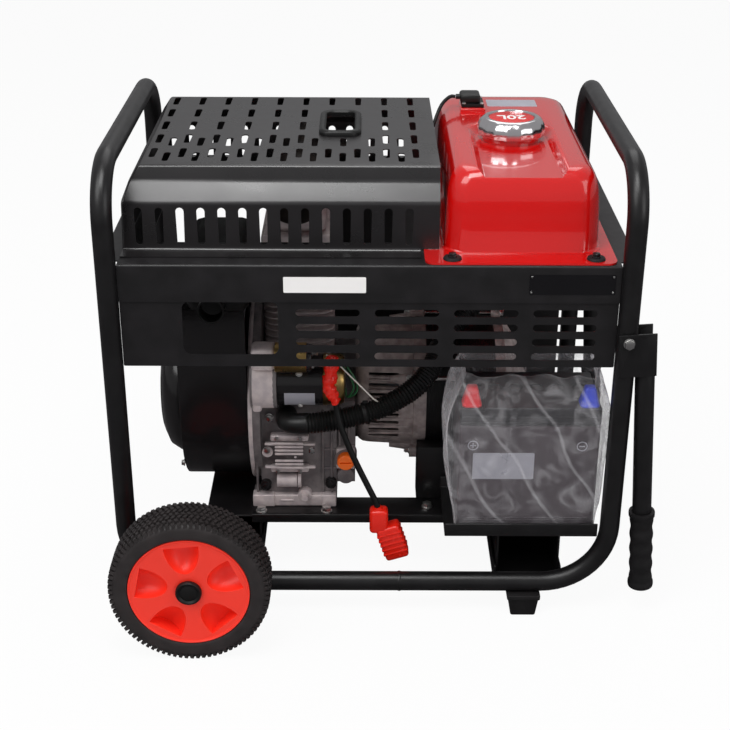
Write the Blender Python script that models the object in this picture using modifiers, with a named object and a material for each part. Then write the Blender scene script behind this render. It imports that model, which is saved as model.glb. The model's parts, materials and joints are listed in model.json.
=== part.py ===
"""Engine driven welder: an open-frame, wheeled, electric-start diesel welding generator.

Metres, +Z up. X runs along the machine, the battery side faces -Y and the control side +Y.
Every piece is placed from the middle of the tube frame, with the ground at Z = 0. One empty,
"machine", then moves the whole assembly so that its box is centred on the origin.
"""

import math

import bmesh
import bpy
from mathutils import Vector

# --- Clearances ---------------------------------------------------------------------------
GAP = 0.0003            # between pieces that touch
SHEET = 0.0015          # pressed sheet covers
PLATE = 0.003           # folded steel that carries load

# --- Tube frame ---------------------------------------------------------------------------
FRAME_LENGTH = 0.6912   # between upright centres, along X
FRAME_DEPTH = 0.4907    # between upright centres, along Y
TUBE_OD = 0.028
TOP_BAR_Z = 0.6641
TOP_BEND = 0.072
BOTTOM_BEND = 0.095
FOOT_HEIGHT = 0.0314
SEAM_X = 0.046          # where the two side hoops are joined

# --- Wheels -------------------------------------------------------------------------------
WHEEL_X = -0.2436
WHEEL_RADIUS = 0.111
TYRE_WIDTH = 0.060
WHEEL_OUTER_Y = 0.374
RIM_RADIUS = 0.0832
AXLE_RADIUS = 0.010
CAP_RADIUS = 0.018
CAP_THICKNESS = 0.006
BRACKET_THICKNESS = 0.004

# --- Bed ----------------------------------------------------------------------------------
CHANNEL_LEFT = (-0.2465, -0.1570)
CHANNEL_RIGHT = (0.1850, 0.2830)
CHANNEL_BASE_Z = 0.0340
CHANNEL_TOP_Z = 0.0620
BED_Z = 0.100           # top of the engine rails
RAIL_INNER_Y = 0.100
RAIL_OUTER_Y = 0.152
RAIL_FLANGE = 0.014
RAIL_LEFT_X = -0.174
FOOT_X = 0.2266

# --- Tow handles --------------------------------------------------------------------------
PIVOT_Z = 0.4346
HANDLE_LEAN = math.radians(3.986)
HANDLE_OFFSET = 0.025   # pipe axis from the pivot
PIPE_RADIUS = 0.0135
HANDLE_REACH = 0.397    # pivot to the end of the grip
GRIP_LENGTH = 0.126
GRIP_RADIUS = 0.018
BOLT_RADIUS = 0.004

# --- Deck, panel and shield ---------------------------------------------------------------
DECK_Z = 0.538
FASCIA_HEIGHT = 0.0525
DECK_SHEET = 0.0016
DECK_END_X = 0.3545      # between the uprights the deck reaches out to here
PANEL_BOTTOM_Z = 0.391
SHIELD_LEFT_X = -0.3305
SHIELD_RIGHT_X = 0.0935
SHIELD_FRONT_Y = -0.193
SHIELD_BACK_Y = 0.205
SHIELD_TOP_Z = 0.650
SHIELD_FLANGE = 0.027

# --- Fuel tank ----------------------------------------------------------------------------
TANK_LEFT_X = 0.1005
TANK_RIGHT_X = 0.3080
TANK_HALF_Y = 0.205
TANK_TOP_Z = 0.652
TANK_FLANGE_T = 0.0025
BELLY_Z = 0.472
CAP_X = 0.2015
CAP_Y = -0.012
NECK_RADIUS = 0.041
NECK_BORE = 0.028
FUEL_CAP_RADIUS = 0.049

# --- Battery ------------------------------------------------------------------------------
TRAY_Z = 0.122
TRAY_LIP = 0.0205
BATTERY_LEFT_X = 0.127
BATTERY_WIDTH = 0.1965
BATTERY_FRONT_Y = -0.235
BATTERY_DEPTH = 0.118
BATTERY_CASE_TOP = 0.2955
BATTERY_TOP = 0.3235

# --- Engine and alternator ----------------------------------------------------------------
CRANK_Z = 0.250
SHAFT_RADIUS = 0.020
CASE_LEFT_X = -0.1602
CASE_RIGHT_X = -0.0465
CASE_HALF_Y = 0.118
SHOULDER_Z = 0.2725     # top of the case below the starter
CASE_TOP_Z = 0.310
PTO_X = -0.0192
BELL_RADIUS = 0.148
BLOWER_LEFT_X = -0.2749
BLOWER_RIGHT_X = -0.1755
BLOWER_RADIUS = 0.142
BLOWER_TOP_Z = 0.4297
STARTER_Y = -0.125
STARTER_Z = 0.3137
STARTER_RADIUS = 0.038
HEAD_TOP_Z = 0.545
MUFFLER_RADIUS = 0.042
ALTERNATOR_RADIUS = 0.0999
STATOR_START_X = 0.0870
STATOR_LENGTH = 0.103
ROTOR_RADIUS = 0.070

# --- Control panel ------------------------------------------------------------------------
CONTROL_LEFT_X = -0.105
CONTROL_RIGHT_X = 0.320
CONTROL_BOTTOM_Z = 0.165
CONTROL_TOP_Z = 0.500
CONTROL_DEPTH = 0.049

# --- Worked out from the sizes above ------------------------------------------------------
TUBE_R = TUBE_OD / 2
HALF_L = FRAME_LENGTH / 2
HALF_D = FRAME_DEPTH / 2
BOTTOM_Z = FOOT_HEIGHT + TUBE_R
TUBE_TOP = BOTTOM_Z + TUBE_R
BAY_X = HALF_L - TUBE_R - GAP                     # clear half length between the uprights
BAY_Y = HALF_D - TUBE_R - GAP                     # clear half depth between the bottom tubes
RISER_RIGHT_TOP = TRAY_Z - GAP
TRAY_DROP = BOTTOM_Z + BOTTOM_BEND - TRAY_Z       # tray floor below the centre of the tube's lower bend
TRAY_RIGHT_X = HALF_L - BOTTOM_BEND + math.sqrt((BOTTOM_BEND - TUBE_R) ** 2 - TRAY_DROP ** 2) - 2 * GAP
BATTERY_RIGHT_X = BATTERY_LEFT_X + BATTERY_WIDTH
BATTERY_BACK_Y = BATTERY_FRONT_Y + BATTERY_DEPTH
MUFFLER_Z = HEAD_TOP_Z + GAP + MUFFLER_RADIUS
STATOR_END_X = STATOR_START_X + STATOR_LENGTH
SADDLE_TOP_Z = CRANK_Z - 0.61 * ALTERNATOR_RADIUS     # blocks that stand on the rails below the stator
PANEL_Y = -(HALF_D - DECK_SHEET / 2 - GAP - SHEET / 2)
HANDLE_END_X = HALF_L + HANDLE_OFFSET * math.cos(HANDLE_LEAN) + HANDLE_REACH * math.sin(HANDLE_LEAN)
BOX_RIGHT_X = HANDLE_END_X + GRIP_RADIUS * math.cos(HANDLE_LEAN)
BOX_LEFT_X = min(-HALF_L - TUBE_R, WHEEL_X - WHEEL_RADIUS)


# --- Making and placing -------------------------------------------------------------------
def clear_scene():
    for obj in list(bpy.data.objects):
        bpy.data.objects.remove(obj)


def collection(name):
    made = bpy.data.collections.new(name)
    bpy.context.scene.collection.children.link(made)
    return made


def linear(hex_colour):
    """Turn an sRGB hex colour into the linear values that a shader takes."""
    channels = [int(hex_colour[i:i + 2], 16) / 255 for i in (0, 2, 4)]
    return [c / 12.92 if c <= 0.04045 else ((c + 0.055) / 1.055) ** 2.4 for c in channels] + [1.0]


def material(name, hex_colour, metallic, roughness):
    made = bpy.data.materials.new(name)
    made.use_nodes = True
    shader = made.node_tree.nodes["Principled BSDF"]
    shader.inputs["Base Color"].default_value = linear(hex_colour)
    shader.inputs["Metallic"].default_value = metallic
    shader.inputs["Roughness"].default_value = roughness
    return made


def add_object(name, data, finish, smooth=True):
    """Link a new object. With no finish it is a helper that only shapes other pieces."""
    obj = bpy.data.objects.new(name, data)
    if finish is None:
        HELPERS.objects.link(obj)
        obj.hide_render = True
        obj.display_type = "WIRE"
    else:
        MODEL.objects.link(obj)
        data.materials.append(finish)
    if smooth and isinstance(data, bpy.types.Mesh):
        data.shade_smooth()
        data.set_sharp_from_angle(angle=math.radians(35))
    return obj


def add_bmesh(name, bm, finish, smooth=True):
    mesh = bpy.data.meshes.new(name)
    bm.to_mesh(mesh)
    bm.free()
    return add_object(name, mesh, finish, smooth)


def point_along(obj, direction):
    """Turn an object so that its own Z axis points along a direction."""
    obj.rotation_mode = "QUATERNION"
    obj.rotation_quaternion = Vector(direction).to_track_quat("Z", "Y")
    return obj


def box(name, low, high, finish, bevel=0.0, segments=2):
    low, high = Vector(low), Vector(high)
    bm = bmesh.new()
    bmesh.ops.create_cube(bm, size=1.0)
    bmesh.ops.scale(bm, vec=high - low, verts=bm.verts)
    obj = add_bmesh(name, bm, finish, smooth=bevel > 0)
    obj.location = (low + high) / 2
    if bevel:
        edges = obj.modifiers.new("rounded edges", "BEVEL")
        edges.width = bevel
        edges.segments = segments
    return obj


def rod(name, start, end, radius, finish, sides=24, end_radius=None):
    """A cylinder, or a cone, between two points."""
    start, end = Vector(start), Vector(end)
    bm = bmesh.new()
    bmesh.ops.create_cone(bm, cap_ends=True, segments=sides, radius1=radius,
                          radius2=radius if end_radius is None else end_radius,
                          depth=(end - start).length)
    obj = add_bmesh(name, bm, finish)
    obj.location = (start + end) / 2
    return point_along(obj, end - start)


def turned(name, profile, place, axis, finish, steps=32):
    """Spin a profile of (radius, height) points, which runs down its outer side, about an axis.

    A profile that starts and ends off the axis closes on itself and leaves a bore.
    """
    mesh = bpy.data.meshes.new(name)
    count = len(profile)
    edges = [(i, i + 1) for i in range(count - 1)]
    if profile[0][0] > 0:
        edges.append((count - 1, 0))
    mesh.from_pydata([(radius, 0.0, height) for radius, height in profile], edges, [])
    obj = add_object(name, mesh, finish, smooth=False)
    obj.location = place
    spin = obj.modifiers.new("spin", "SCREW")
    spin.steps = spin.render_steps = steps
    spin.use_merge_vertices = True
    spin.merge_threshold = 0.00001
    return point_along(obj, axis)


def poly_spline(data, points, closed):
    spline = data.splines.new("POLY")
    spline.points.add(len(points) - 1)
    for spot, place in zip(spline.points, points):
        spot.co = (*place, 1.0)
    spline.use_cyclic_u = closed


def tube(name, points, radius, finish, resolution=4):
    data = bpy.data.curves.new(name, "CURVE")
    data.dimensions = "3D"
    data.bevel_depth = radius
    data.bevel_resolution = resolution
    data.use_fill_caps = True
    poly_spline(data, points, closed=False)
    return add_object(name, data, finish)


def flat_plate(name, outlines, thickness, place, axis, finish):
    """A flat plate from closed outlines in its own XY plane; inner outlines are holes."""
    data = bpy.data.curves.new(name, "CURVE")
    data.dimensions = "2D"
    data.fill_mode = "BOTH"
    data.extrude = thickness / 2
    for outline in outlines:
        poly_spline(data, [(x, y, 0.0) for x, y in outline], closed=True)
    obj = add_object(name, data, finish)
    obj.location = place
    return point_along(obj, axis)


def solid_from_curve(obj):
    """Make a curve a mesh with welded caps, so that it can be cut or joined."""
    bpy.context.view_layer.update()
    graph = bpy.context.evaluated_depsgraph_get()
    mesh = bpy.data.meshes.new_from_object(obj.evaluated_get(graph))
    bm = bmesh.new()
    bm.from_mesh(mesh)
    bmesh.ops.remove_doubles(bm, verts=bm.verts, dist=0.00001)
    bm.to_mesh(mesh)
    bm.free()
    name, place, finish = obj.name, obj.matrix_world.copy(), obj.data.materials[:]
    bpy.data.objects.remove(obj)
    mesh.materials.clear()
    solid = add_object(name, mesh, finish[0] if finish else None)
    solid.matrix_world = place
    return solid


def folded_sheet(name, profile, start, end, thickness, axis, finish):
    """A folded strip: the mid-line of its section, drawn from start to end along X or Y."""
    bm = bmesh.new()
    rows = []
    for along in (start, end):
        points = [(along, a, b) if axis == "X" else (a, along, b) for a, b in profile]
        rows.append([bm.verts.new(point) for point in points])
    for i in range(len(profile) - 1):
        bm.faces.new((rows[0][i], rows[0][i + 1], rows[1][i + 1], rows[1][i]))
    obj = add_bmesh(name, bm, finish, smooth=False)
    wall = obj.modifiers.new("thickness", "SOLIDIFY")
    wall.thickness = thickness
    wall.offset = 0
    wall.use_even_offset = True
    return obj


def rounded_rectangle(left, right, front, back, radius, steps=4):
    """Corner points of a rectangle with arcs for corners, anticlockwise from the front right."""
    points = []
    corners = ((right, front, -90), (right, back, 0), (left, back, 90), (left, front, 180))
    for x, y, turn in corners:
        centre_x = x - math.copysign(radius, x - (left + right) / 2)
        centre_y = y - math.copysign(radius, y - (front + back) / 2)
        for step in range(steps + 1):
            angle = math.radians(turn + 90 * step / steps)
            points.append((centre_x + radius * math.cos(angle), centre_y + radius * math.sin(angle)))
    return points


def loft(name, rings, finish, closed=True):
    """Skin a stack of rings, each a list of XY points at a height, bottom ring first."""
    bm = bmesh.new()
    loops = [[bm.verts.new((x, y, z)) for x, y in outline] for outline, z in rings]
    for lower, upper in zip(loops, loops[1:]):
        for i in range(len(lower)):
            j = (i + 1) % len(lower)
            bm.faces.new((lower[i], lower[j], upper[j], upper[i]))
    if closed:
        bm.faces.new(reversed(loops[0]))
    bm.faces.new(loops[-1])
    return add_bmesh(name, bm, finish)


def arc(centre, radius, first, last, steps):
    """Points on an arc in a plane, between two angles in degrees, both ends included."""
    angles = [math.radians(first + (last - first) * i / steps) for i in range(steps + 1)]
    return [(centre[0] + radius * math.cos(a), centre[1] + radius * math.sin(a)) for a in angles]


def bent_path(corners, radii, steps=6):
    """A path through corner points, each turned into an arc of its own bend radius."""
    corners = [Vector(corner) for corner in corners]
    points = [corners[0]]
    for before, corner, after, radius in zip(corners, corners[1:], corners[2:], radii):
        into, out = (corner - before).normalized(), (after - corner).normalized()
        turn = into.angle(out)
        inwards = (out - into * into.dot(out)).normalized()
        start = corner - into * radius * math.tan(turn / 2)
        for step in range(steps + 1):
            angle = turn * step / steps
            points.append(start + into * radius * math.sin(angle)
                          + inwards * radius * (1 - math.cos(angle)))
    points.append(corners[-1])
    return points


def smooth_route(places, spacing):
    """Evenly spaced points on a smooth curve through the places of a cable's route."""
    places = [Vector(place) for place in places]
    padded = [2 * places[0] - places[1], *places, 2 * places[-1] - places[-2]]
    fine = [places[0]]
    for a, b, c, d in zip(padded, padded[1:], padded[2:], padded[3:]):
        for step in range(1, 21):
            t = step / 20
            fine.append(0.5 * (2 * b + (c - a) * t + (2 * a - 5 * b + 4 * c - d) * t ** 2
                               + (3 * b - a - 3 * c + d) * t ** 3))
    length = sum((b - a).length for a, b in zip(fine, fine[1:]))
    count = max(2, round(length / spacing))
    points, travelled, target = [fine[0]], 0.0, length / count
    for a, b in zip(fine, fine[1:]):
        step = (b - a).length
        while travelled + step >= target * len(points) and len(points) < count:
            points.append(a.lerp(b, (target * len(points) - travelled) / step))
        travelled += step
    points.append(fine[-1])
    return points


def boolean(target, helper, operation):
    change = target.modifiers.new(f"{operation.lower()} {helper.name}", "BOOLEAN")
    change.operation = operation
    change.solver = "EXACT"
    change.object = helper
    return target


def cut(target, *helpers):
    for helper in helpers:
        boolean(target, helper, "DIFFERENCE")
    return target


def join(target, *helpers):
    for helper in helpers:
        boolean(target, helper, "UNION")
    return target


def join_meshes(name, pieces):
    """Gather separate helper meshes into one helper, such as a row of slots."""
    bm = bmesh.new()
    for piece in pieces:
        start = len(bm.verts)
        bm.from_mesh(piece.data)
        bm.verts.ensure_lookup_table()
        bmesh.ops.transform(bm, matrix=piece.matrix_basis, verts=bm.verts[start:])
        bpy.data.objects.remove(piece)
    return add_bmesh(name, bm, None, smooth=False)


# --- Frame --------------------------------------------------------------------------------
def side_hoop(name, side):
    """One bent tube: bottom, front upright, top bar, rear upright, bottom."""
    x = side * HALF_L
    seam = SEAM_X + side * GAP / 2
    corners = [(seam, -HALF_D, BOTTOM_Z), (x, -HALF_D, BOTTOM_Z), (x, -HALF_D, TOP_BAR_Z),
               (x, HALF_D, TOP_BAR_Z), (x, HALF_D, BOTTOM_Z), (seam, HALF_D, BOTTOM_Z)]
    radii = (BOTTOM_BEND, TOP_BEND, TOP_BEND, BOTTOM_BEND)
    return tube(name, bent_path(corners, radii), TUBE_R, SATIN_BLACK)


def frame_hoops():
    side_hoop("frame_left_hoop", -1)
    right = solid_from_curve(side_hoop("frame_right_hoop", 1))
    for label, sign in SIDES:
        y = sign * HALF_D
        bore = rod(f"pivot bore {label}", (HALF_L, y - TUBE_OD, PIVOT_Z), (HALF_L, y + TUBE_OD,
                                                                           PIVOT_Z),
                   BOLT_RADIUS + GAP, None, sides=12)
        cut(right, bore)


def cross_channel(name, span):
    """An open-topped channel between the bottom tubes."""
    left, right = span[0] + PLATE / 2, span[1] - PLATE / 2
    base = CHANNEL_BASE_Z + PLATE / 2
    profile = [(left, CHANNEL_TOP_Z), (left, base), (right, base), (right, CHANNEL_TOP_Z)]
    folded_sheet(name, profile, -BAY_Y, BAY_Y, PLATE, "Y", SATIN_BLACK)


def bed_riser(name, span, top, half_length):
    """An upturned channel that stands inside a cross channel and carries the bed."""
    inset = PLATE * 1.5 + GAP
    left, right = span[0] + inset, span[1] - inset
    foot = CHANNEL_BASE_Z + PLATE + GAP
    profile = [(left, foot), (left, top - PLATE / 2), (right, top - PLATE / 2), (right, foot)]
    folded_sheet(name, profile, -half_length, half_length, PLATE, "Y", SATIN_BLACK)


def bed_rail(name, side):
    """An angle whose flat top carries the engine feet."""
    outer, inner = RAIL_OUTER_Y - PLATE / 2, RAIL_INNER_Y
    web = BED_Z - PLATE / 2
    profile = [(side * inner, web), (side * outer, web), (side * outer, BED_Z - RAIL_FLANGE)]
    end = CHANNEL_RIGHT[0] + PLATE
    folded_sheet(name, profile, RAIL_LEFT_X, end, PLATE, "X", SATIN_BLACK)


def bed():
    cross_channel("cross_channel_left", CHANNEL_LEFT)
    cross_channel("cross_channel_right", CHANNEL_RIGHT)
    bed_riser("bed_riser_left", CHANNEL_LEFT, BED_Z - PLATE - GAP, RAIL_OUTER_Y - PLATE - GAP)
    bed_riser("bed_riser_right", CHANNEL_RIGHT, RISER_RIGHT_TOP, BAY_Y - 0.006)
    bed_rail("bed_rail_front", -1)
    bed_rail("bed_rail_rear", 1)


def feet():
    top, width_top, width_bottom, depth = FOOT_HEIGHT + 0.002, 0.044, 0.036, 0.040
    for label, sign in SIDES:
        y = sign * HALF_D
        rings = []
        for z, width, lip in ((0.0, width_bottom, 0.0), (top - 0.007, width_top, 0.0),
                              (top - 0.007, width_top, 0.002), (top, width_top, 0.002)):
            half_width, half_depth = width / 2 + lip, depth / 2 + lip
            rings.append((rounded_rectangle(FOOT_X - half_width, FOOT_X + half_width, y - half_depth,
                                            y + half_depth, 0.003, steps=2), z))
        foot = loft(f"foot_{label}", rings, BLACK_RUBBER)
        saddle = rod(f"tube seat {label}", (FOOT_X - 0.05, y, BOTTOM_Z), (FOOT_X + 0.05, y, BOTTOM_Z),
                     TUBE_R + GAP, None, sides=24)
        cut(foot, saddle)


# --- Wheels -------------------------------------------------------------------------------
def axle_bracket(name, sign):
    """A plate that stands on the bottom tube and carries the axle."""
    half_width = 0.032
    foot = TUBE_TOP + GAP - WHEEL_RADIUS
    straight = WHEEL_X + HALF_L - BOTTOM_BEND      # the tube is straight from here
    outline = [(-straight, foot), (half_width, foot)] + arc((0.0, 0.0), 0.024, 0, 180, 8)
    outline += [(-half_width, foot + 0.006)]
    hole = arc((0.0, 0.0), AXLE_RADIUS + 2 * GAP, 0, 337.5, 15)
    plate = flat_plate(name, [outline, hole], BRACKET_THICKNESS, (0, 0, 0), (0, 0, 1), SATIN_BLACK)
    plate.rotation_mode = "XYZ"
    plate.rotation_euler = (math.radians(90), 0, 0)
    plate.location = (WHEEL_X, sign * HALF_D, WHEEL_RADIUS)


def wheel(label, sign):
    """A solid tyre on a moulded rim with five scooped pockets, which turns on the axle."""
    middle = (WHEEL_X, sign * (WHEEL_OUTER_Y - TYRE_WIDTH / 2), WHEEL_RADIUS)
    outwards = (0, sign, 0)
    half = TYRE_WIDTH / 2
    bead = RIM_RADIUS + GAP
    tyre = [(bead, half - 0.003), (bead + 0.009, half), (WHEEL_RADIUS - 0.010, half),
            (WHEEL_RADIUS - 0.003, half - 0.003), (WHEEL_RADIUS, half - 0.008)]
    tyre += [(radius, -height) for radius, height in reversed(tyre)]
    turned(f"tyre_{label}", tyre, middle, outwards, TYRE_BLACK, steps=40)
    face, web = half - 0.004, half - 0.018
    barrel, hub, bore = RIM_RADIUS - 0.005, 0.022, AXLE_RADIUS + GAP
    rim = [(bore, face), (RIM_RADIUS, face), (RIM_RADIUS, -face), (barrel, -face), (barrel, web),
           (hub, web), (hub, -face), (bore, -face)]
    disc = turned(f"wheel_rim_{label}", rim, middle, outwards, WHEEL_RED, steps=40)
    scoops = []
    for number in range(5):
        angle = math.radians(90 + 72 * number)
        spot = Vector((math.cos(angle), 0, math.sin(angle))) * 0.052
        spot += Vector(middle) + Vector((0, sign * face, 0))
        depth = Vector((0, sign * 0.009, 0))
        scoops.append(rod(f"scoop {label} {number}", spot - depth, spot + depth, 0.011, None,
                          sides=12, end_radius=0.023))
    bpy.context.view_layer.update()
    cut(disc, join_meshes(f"scoops {label}", scoops))


def running_gear():
    """Each wheel turns on a stub axle that is bolted through its bracket."""
    hub_face = WHEEL_OUTER_Y - 0.004
    cap_face = hub_face + GAP + CAP_THICKNESS
    hub_back = WHEEL_OUTER_Y - TYRE_WIDTH + 0.004 - GAP
    plate_out, plate_in = HALF_D + BRACKET_THICKNESS / 2 + GAP, HALF_D - BRACKET_THICKNESS / 2 - GAP
    axle = [(0.0, cap_face), (CAP_RADIUS - 0.002, cap_face), (CAP_RADIUS, cap_face - 0.002),
            (CAP_RADIUS, hub_face + GAP), (AXLE_RADIUS, hub_face + GAP), (AXLE_RADIUS, hub_back),
            (0.016, hub_back), (0.016, plate_out), (AXLE_RADIUS, plate_out), (AXLE_RADIUS, plate_in),
            (0.0165, plate_in), (0.0165, plate_in - 0.009), (0.0, plate_in - 0.009)]
    for label, sign in SIDES:
        wheel(label, sign)
        axle_bracket(f"axle_bracket_{label}", sign)
        turned(f"stub_axle_{label}", axle, (WHEEL_X, 0, WHEEL_RADIUS), (0, sign, 0), BLACK_PLASTIC,
               steps=24)


# --- Tow handles --------------------------------------------------------------------------
def tow_handle(label, sign):
    """A pipe welded into a forked socket that swings up on a bolt through the upright."""
    y = sign * HALF_D
    pivot = bpy.data.objects.new(f"handle pivot {label}", None)
    HELPERS.objects.link(pivot)
    pivot.location = (HALF_L, y, PIVOT_Z)
    pivot.rotation_euler = (0, -HANDLE_LEAN, 0)
    inner, outer = TUBE_R + 0.0008, TUBE_R + 0.0033
    web_inner, web_outer = 0.0350, 0.0375
    socket_low, socket_top, web_top = -0.050, 0.012, -0.018
    socket = box(f"tow_handle_{label}", (-0.013, -outer, socket_low), (web_outer, outer, socket_top),
                 SATIN_BLACK)
    fork = box(f"fork {label}", (-0.030, -inner, -0.080), (web_inner, inner, 0.030), None)
    notch = box(f"notch {label}", (0.030, -inner, web_top), (0.060, inner, 0.030), None)
    hole = rod(f"bolt hole {label}", (0, -0.030, 0), (0, 0.030, 0), BOLT_RADIUS + GAP, None, sides=12)
    pipe = rod(f"pipe {label}", (HANDLE_OFFSET, 0, -0.042), (HANDLE_OFFSET, 0, 0.004 - HANDLE_REACH),
               PIPE_RADIUS, None, sides=20)
    cut(socket, fork, notch, hole)
    join(socket, pipe)
    grip_top, bore = GRIP_LENGTH, PIPE_RADIUS + GAP
    grip = [(bore, grip_top), (GRIP_RADIUS, grip_top), (GRIP_RADIUS, grip_top - 0.006),
            (GRIP_RADIUS - 0.002, grip_top - 0.010), (GRIP_RADIUS - 0.002, 0.012), (GRIP_RADIUS, 0.008),
            (GRIP_RADIUS, 0.002), (GRIP_RADIUS - 0.002, 0.0), (0.0, 0.0)]
    grip = [(0.0, 0.0037), (bore, 0.0037)] + grip
    sleeve = turned(f"handle_grip_{label}", grip, (HANDLE_OFFSET, 0, -HANDLE_REACH), (0, 0, 1),
                    GRIP_RUBBER, steps=20)
    for piece in (socket, fork, notch, hole, pipe, sleeve):
        piece.parent = pivot
    head = outer + GAP
    bolt = [(0.0, head + 0.005), (0.0065, head + 0.005), (0.0075, head + 0.004), (0.0075, head),
            (BOLT_RADIUS, head), (BOLT_RADIUS, -head), (0.007, -head), (0.007, -head - 0.006),
            (0.0, -head - 0.006)]
    turned(f"handle_bolt_{label}", bolt, (HALF_L, y, PIVOT_Z), (0, sign, 0), ZINC_STEEL, steps=12)


# --- Deck and covers ----------------------------------------------------------------------
def deck():
    """The top tray, with a skirt at the front and the back and openings below each cover.

    Between the uprights its ends reach out over the side bars, and its corners are notched round them.
    """
    mid = DECK_Z - DECK_SHEET / 2
    skirt = DECK_Z - FASCIA_HEIGHT
    profile = [(-HALF_D, skirt), (-HALF_D, mid), (HALF_D, mid), (HALF_D, skirt)]
    tray = folded_sheet("deck", profile, -BAY_X, BAY_X, DECK_SHEET, "X", DECK_BLACK)
    engine = box("engine opening", (-0.300, -0.160, DECK_Z - 0.01), (0.045, 0.160, DECK_Z + 0.01), None)
    tank = box("tank opening", (TANK_LEFT_X - 0.001, -TANK_HALF_Y + 0.013, DECK_Z - 0.01),
               (TANK_RIGHT_X + 0.001, TANK_HALF_Y - 0.013, DECK_Z + 0.01), None)
    ends = box("deck ends", (-DECK_END_X, -BAY_Y, DECK_Z - DECK_SHEET), (DECK_END_X, BAY_Y, DECK_Z),
               None)
    join(tray, ends)
    cut(tray, engine, tank)


def side_panel():
    """The slotted guard below the deck on the battery side."""
    top = DECK_Z - FASCIA_HEIGHT + 0.012
    slot_length, slot_height = 0.0855, 0.0103
    columns = [-0.0980 + slot_length / 2 + 0.1055 * i for i in range(4)]
    rows = [0.4065 + 0.0210 * i for i in range(4)]
    outlines = [rounded_rectangle(-BAY_X, BAY_X, PANEL_BOTTOM_Z, top, 0.001, steps=1)]
    for x in columns:
        for z in rows:
            outlines.append(rounded_rectangle(x - slot_length / 2, x + slot_length / 2,
                                              z - slot_height / 2, z + slot_height / 2,
                                              slot_height / 2 - 0.0002, steps=2))
    outlines.append(rounded_rectangle(-0.2490, -0.1215, 0.4085, 0.4850, 0.010, steps=3))
    panel = flat_plate("side_panel_front", outlines, SHEET, (0, 0, 0), (0, 0, 1), PANEL_BLACK)
    panel.rotation_mode = "XYZ"
    panel.rotation_euler = (math.radians(90), 0, 0)
    panel.location = (0, PANEL_Y, 0)


def shield_ring(grow, rise):
    """One level of the shield: how far its front and back step in, and its left end."""
    left = SHIELD_LEFT_X + rise
    return [(left, SHIELD_FRONT_Y + grow), (SHIELD_RIGHT_X, SHIELD_FRONT_Y + grow),
            (SHIELD_RIGHT_X, SHIELD_BACK_Y - grow), (left, SHIELD_BACK_Y - grow)]


def heat_shield():
    """The perforated cover over the muffler: flanged, folded twice, open at the tank end."""
    levels = ((DECK_Z + GAP + SHEET, 0.0, 0.0), (0.607, 0.0, 0.0015), (0.6295, 0.0205, 0.011),
              (SHIELD_TOP_Z, 0.022, 0.0245))
    bm = bmesh.new()
    loops = []
    for z, grow, rise in levels:
        loops.append([bm.verts.new((x, y, z)) for x, y in shield_ring(grow, rise)])
    flange = [bm.verts.new((x, y + side * SHIELD_FLANGE, levels[0][0]))
              for (x, y), side in zip(shield_ring(0, 0), (-1, -1, 1, 1))]
    for lower, upper in zip(loops, loops[1:]):
        for i, j in ((0, 1), (2, 3), (3, 0)):
            bm.faces.new((lower[i], lower[j], upper[j], upper[i]))
    bm.faces.new(loops[-1])
    for i, j in ((0, 1), (2, 3)):
        bm.faces.new((flange[i], flange[j], loops[0][j], loops[0][i]))
    cover = add_bmesh("heat_shield", bm, SHIELD_GREY, smooth=False)
    wall = cover.modifiers.new("thickness", "SOLIDIFY")
    wall.thickness = SHEET
    wall.offset = -1
    wall.use_even_offset = True
    slots = []
    for i in range(14):
        x = -0.3071 + 0.0277 * i
        slots.append(box(f"face slot {i}", (x - 0.0055, -0.25, 0.5465), (x + 0.0055, 0.25, 0.5985),
                         None))
    for i in range(10):
        for j in range(5):
            if i in (6, 7) and j in (1, 2, 3):
                continue                       # the grommet takes their place
            x, y = -0.2940 + 0.0396 * i, -0.1150 + 0.0677 * j
            slots.append(box(f"top slot {i} {j}", (x - 0.0048, y - 0.020, 0.64),
                             (x + 0.0048, y + 0.020, 0.66),
                             None))
    for i in range(9):
        for j in range(2):
            x, y = -0.2742 + 0.0396 * i, -0.1330 + 0.0700 * j
            slots.append(box(f"half slot {i} {j}", (x - 0.0048, y - 0.020, 0.64),
                             (x + 0.0048, y + 0.020, 0.66),
                             None))
    bpy.context.view_layer.update()
    window = loft("grommet opening", [(rounded_rectangle(-0.063, -0.020, -0.028, 0.073, 0.010, 2),
                                       0.63),
                                      (rounded_rectangle(-0.063, -0.020, -0.028, 0.073, 0.010, 2),
                                       0.67)],
                  None)
    relief = box("tank flange relief", (0.0685, -0.260, 0.530), (0.200, 0.260,
                                                                 DECK_Z + TANK_FLANGE_T + 3 * GAP),
                 None)
    cut(cover, join_meshes("shield slots", slots), window, relief)
    seat, lip = SHIELD_TOP_Z + GAP, 0.0075
    trim = loft("shield_grommet", [(rounded_rectangle(-0.0715, -0.0115, -0.034, 0.084, 0.016), seat),
                                   (rounded_rectangle(-0.0715, -0.0115, -0.034, 0.084, 0.016),
                                    seat + lip - 0.002),
                                   (rounded_rectangle(-0.0695, -0.0135, -0.032, 0.082, 0.014),
                                    seat + lip)],
                BLACK_RUBBER)
    throat = loft("grommet throat", [(rounded_rectangle(-0.0625, -0.0205, -0.025, 0.073, 0.010),
                                      seat - 0.01),
                                     (rounded_rectangle(-0.0625, -0.0205, -0.025, 0.073, 0.010),
                                      seat + 0.02)], None)
    cut(trim, throat)


# --- Fuel tank ----------------------------------------------------------------------------
def tank_ring(inset, radius):
    return rounded_rectangle(TANK_LEFT_X + inset, TANK_RIGHT_X - inset, -TANK_HALF_Y + inset,
                             TANK_HALF_Y - inset, radius)


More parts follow.
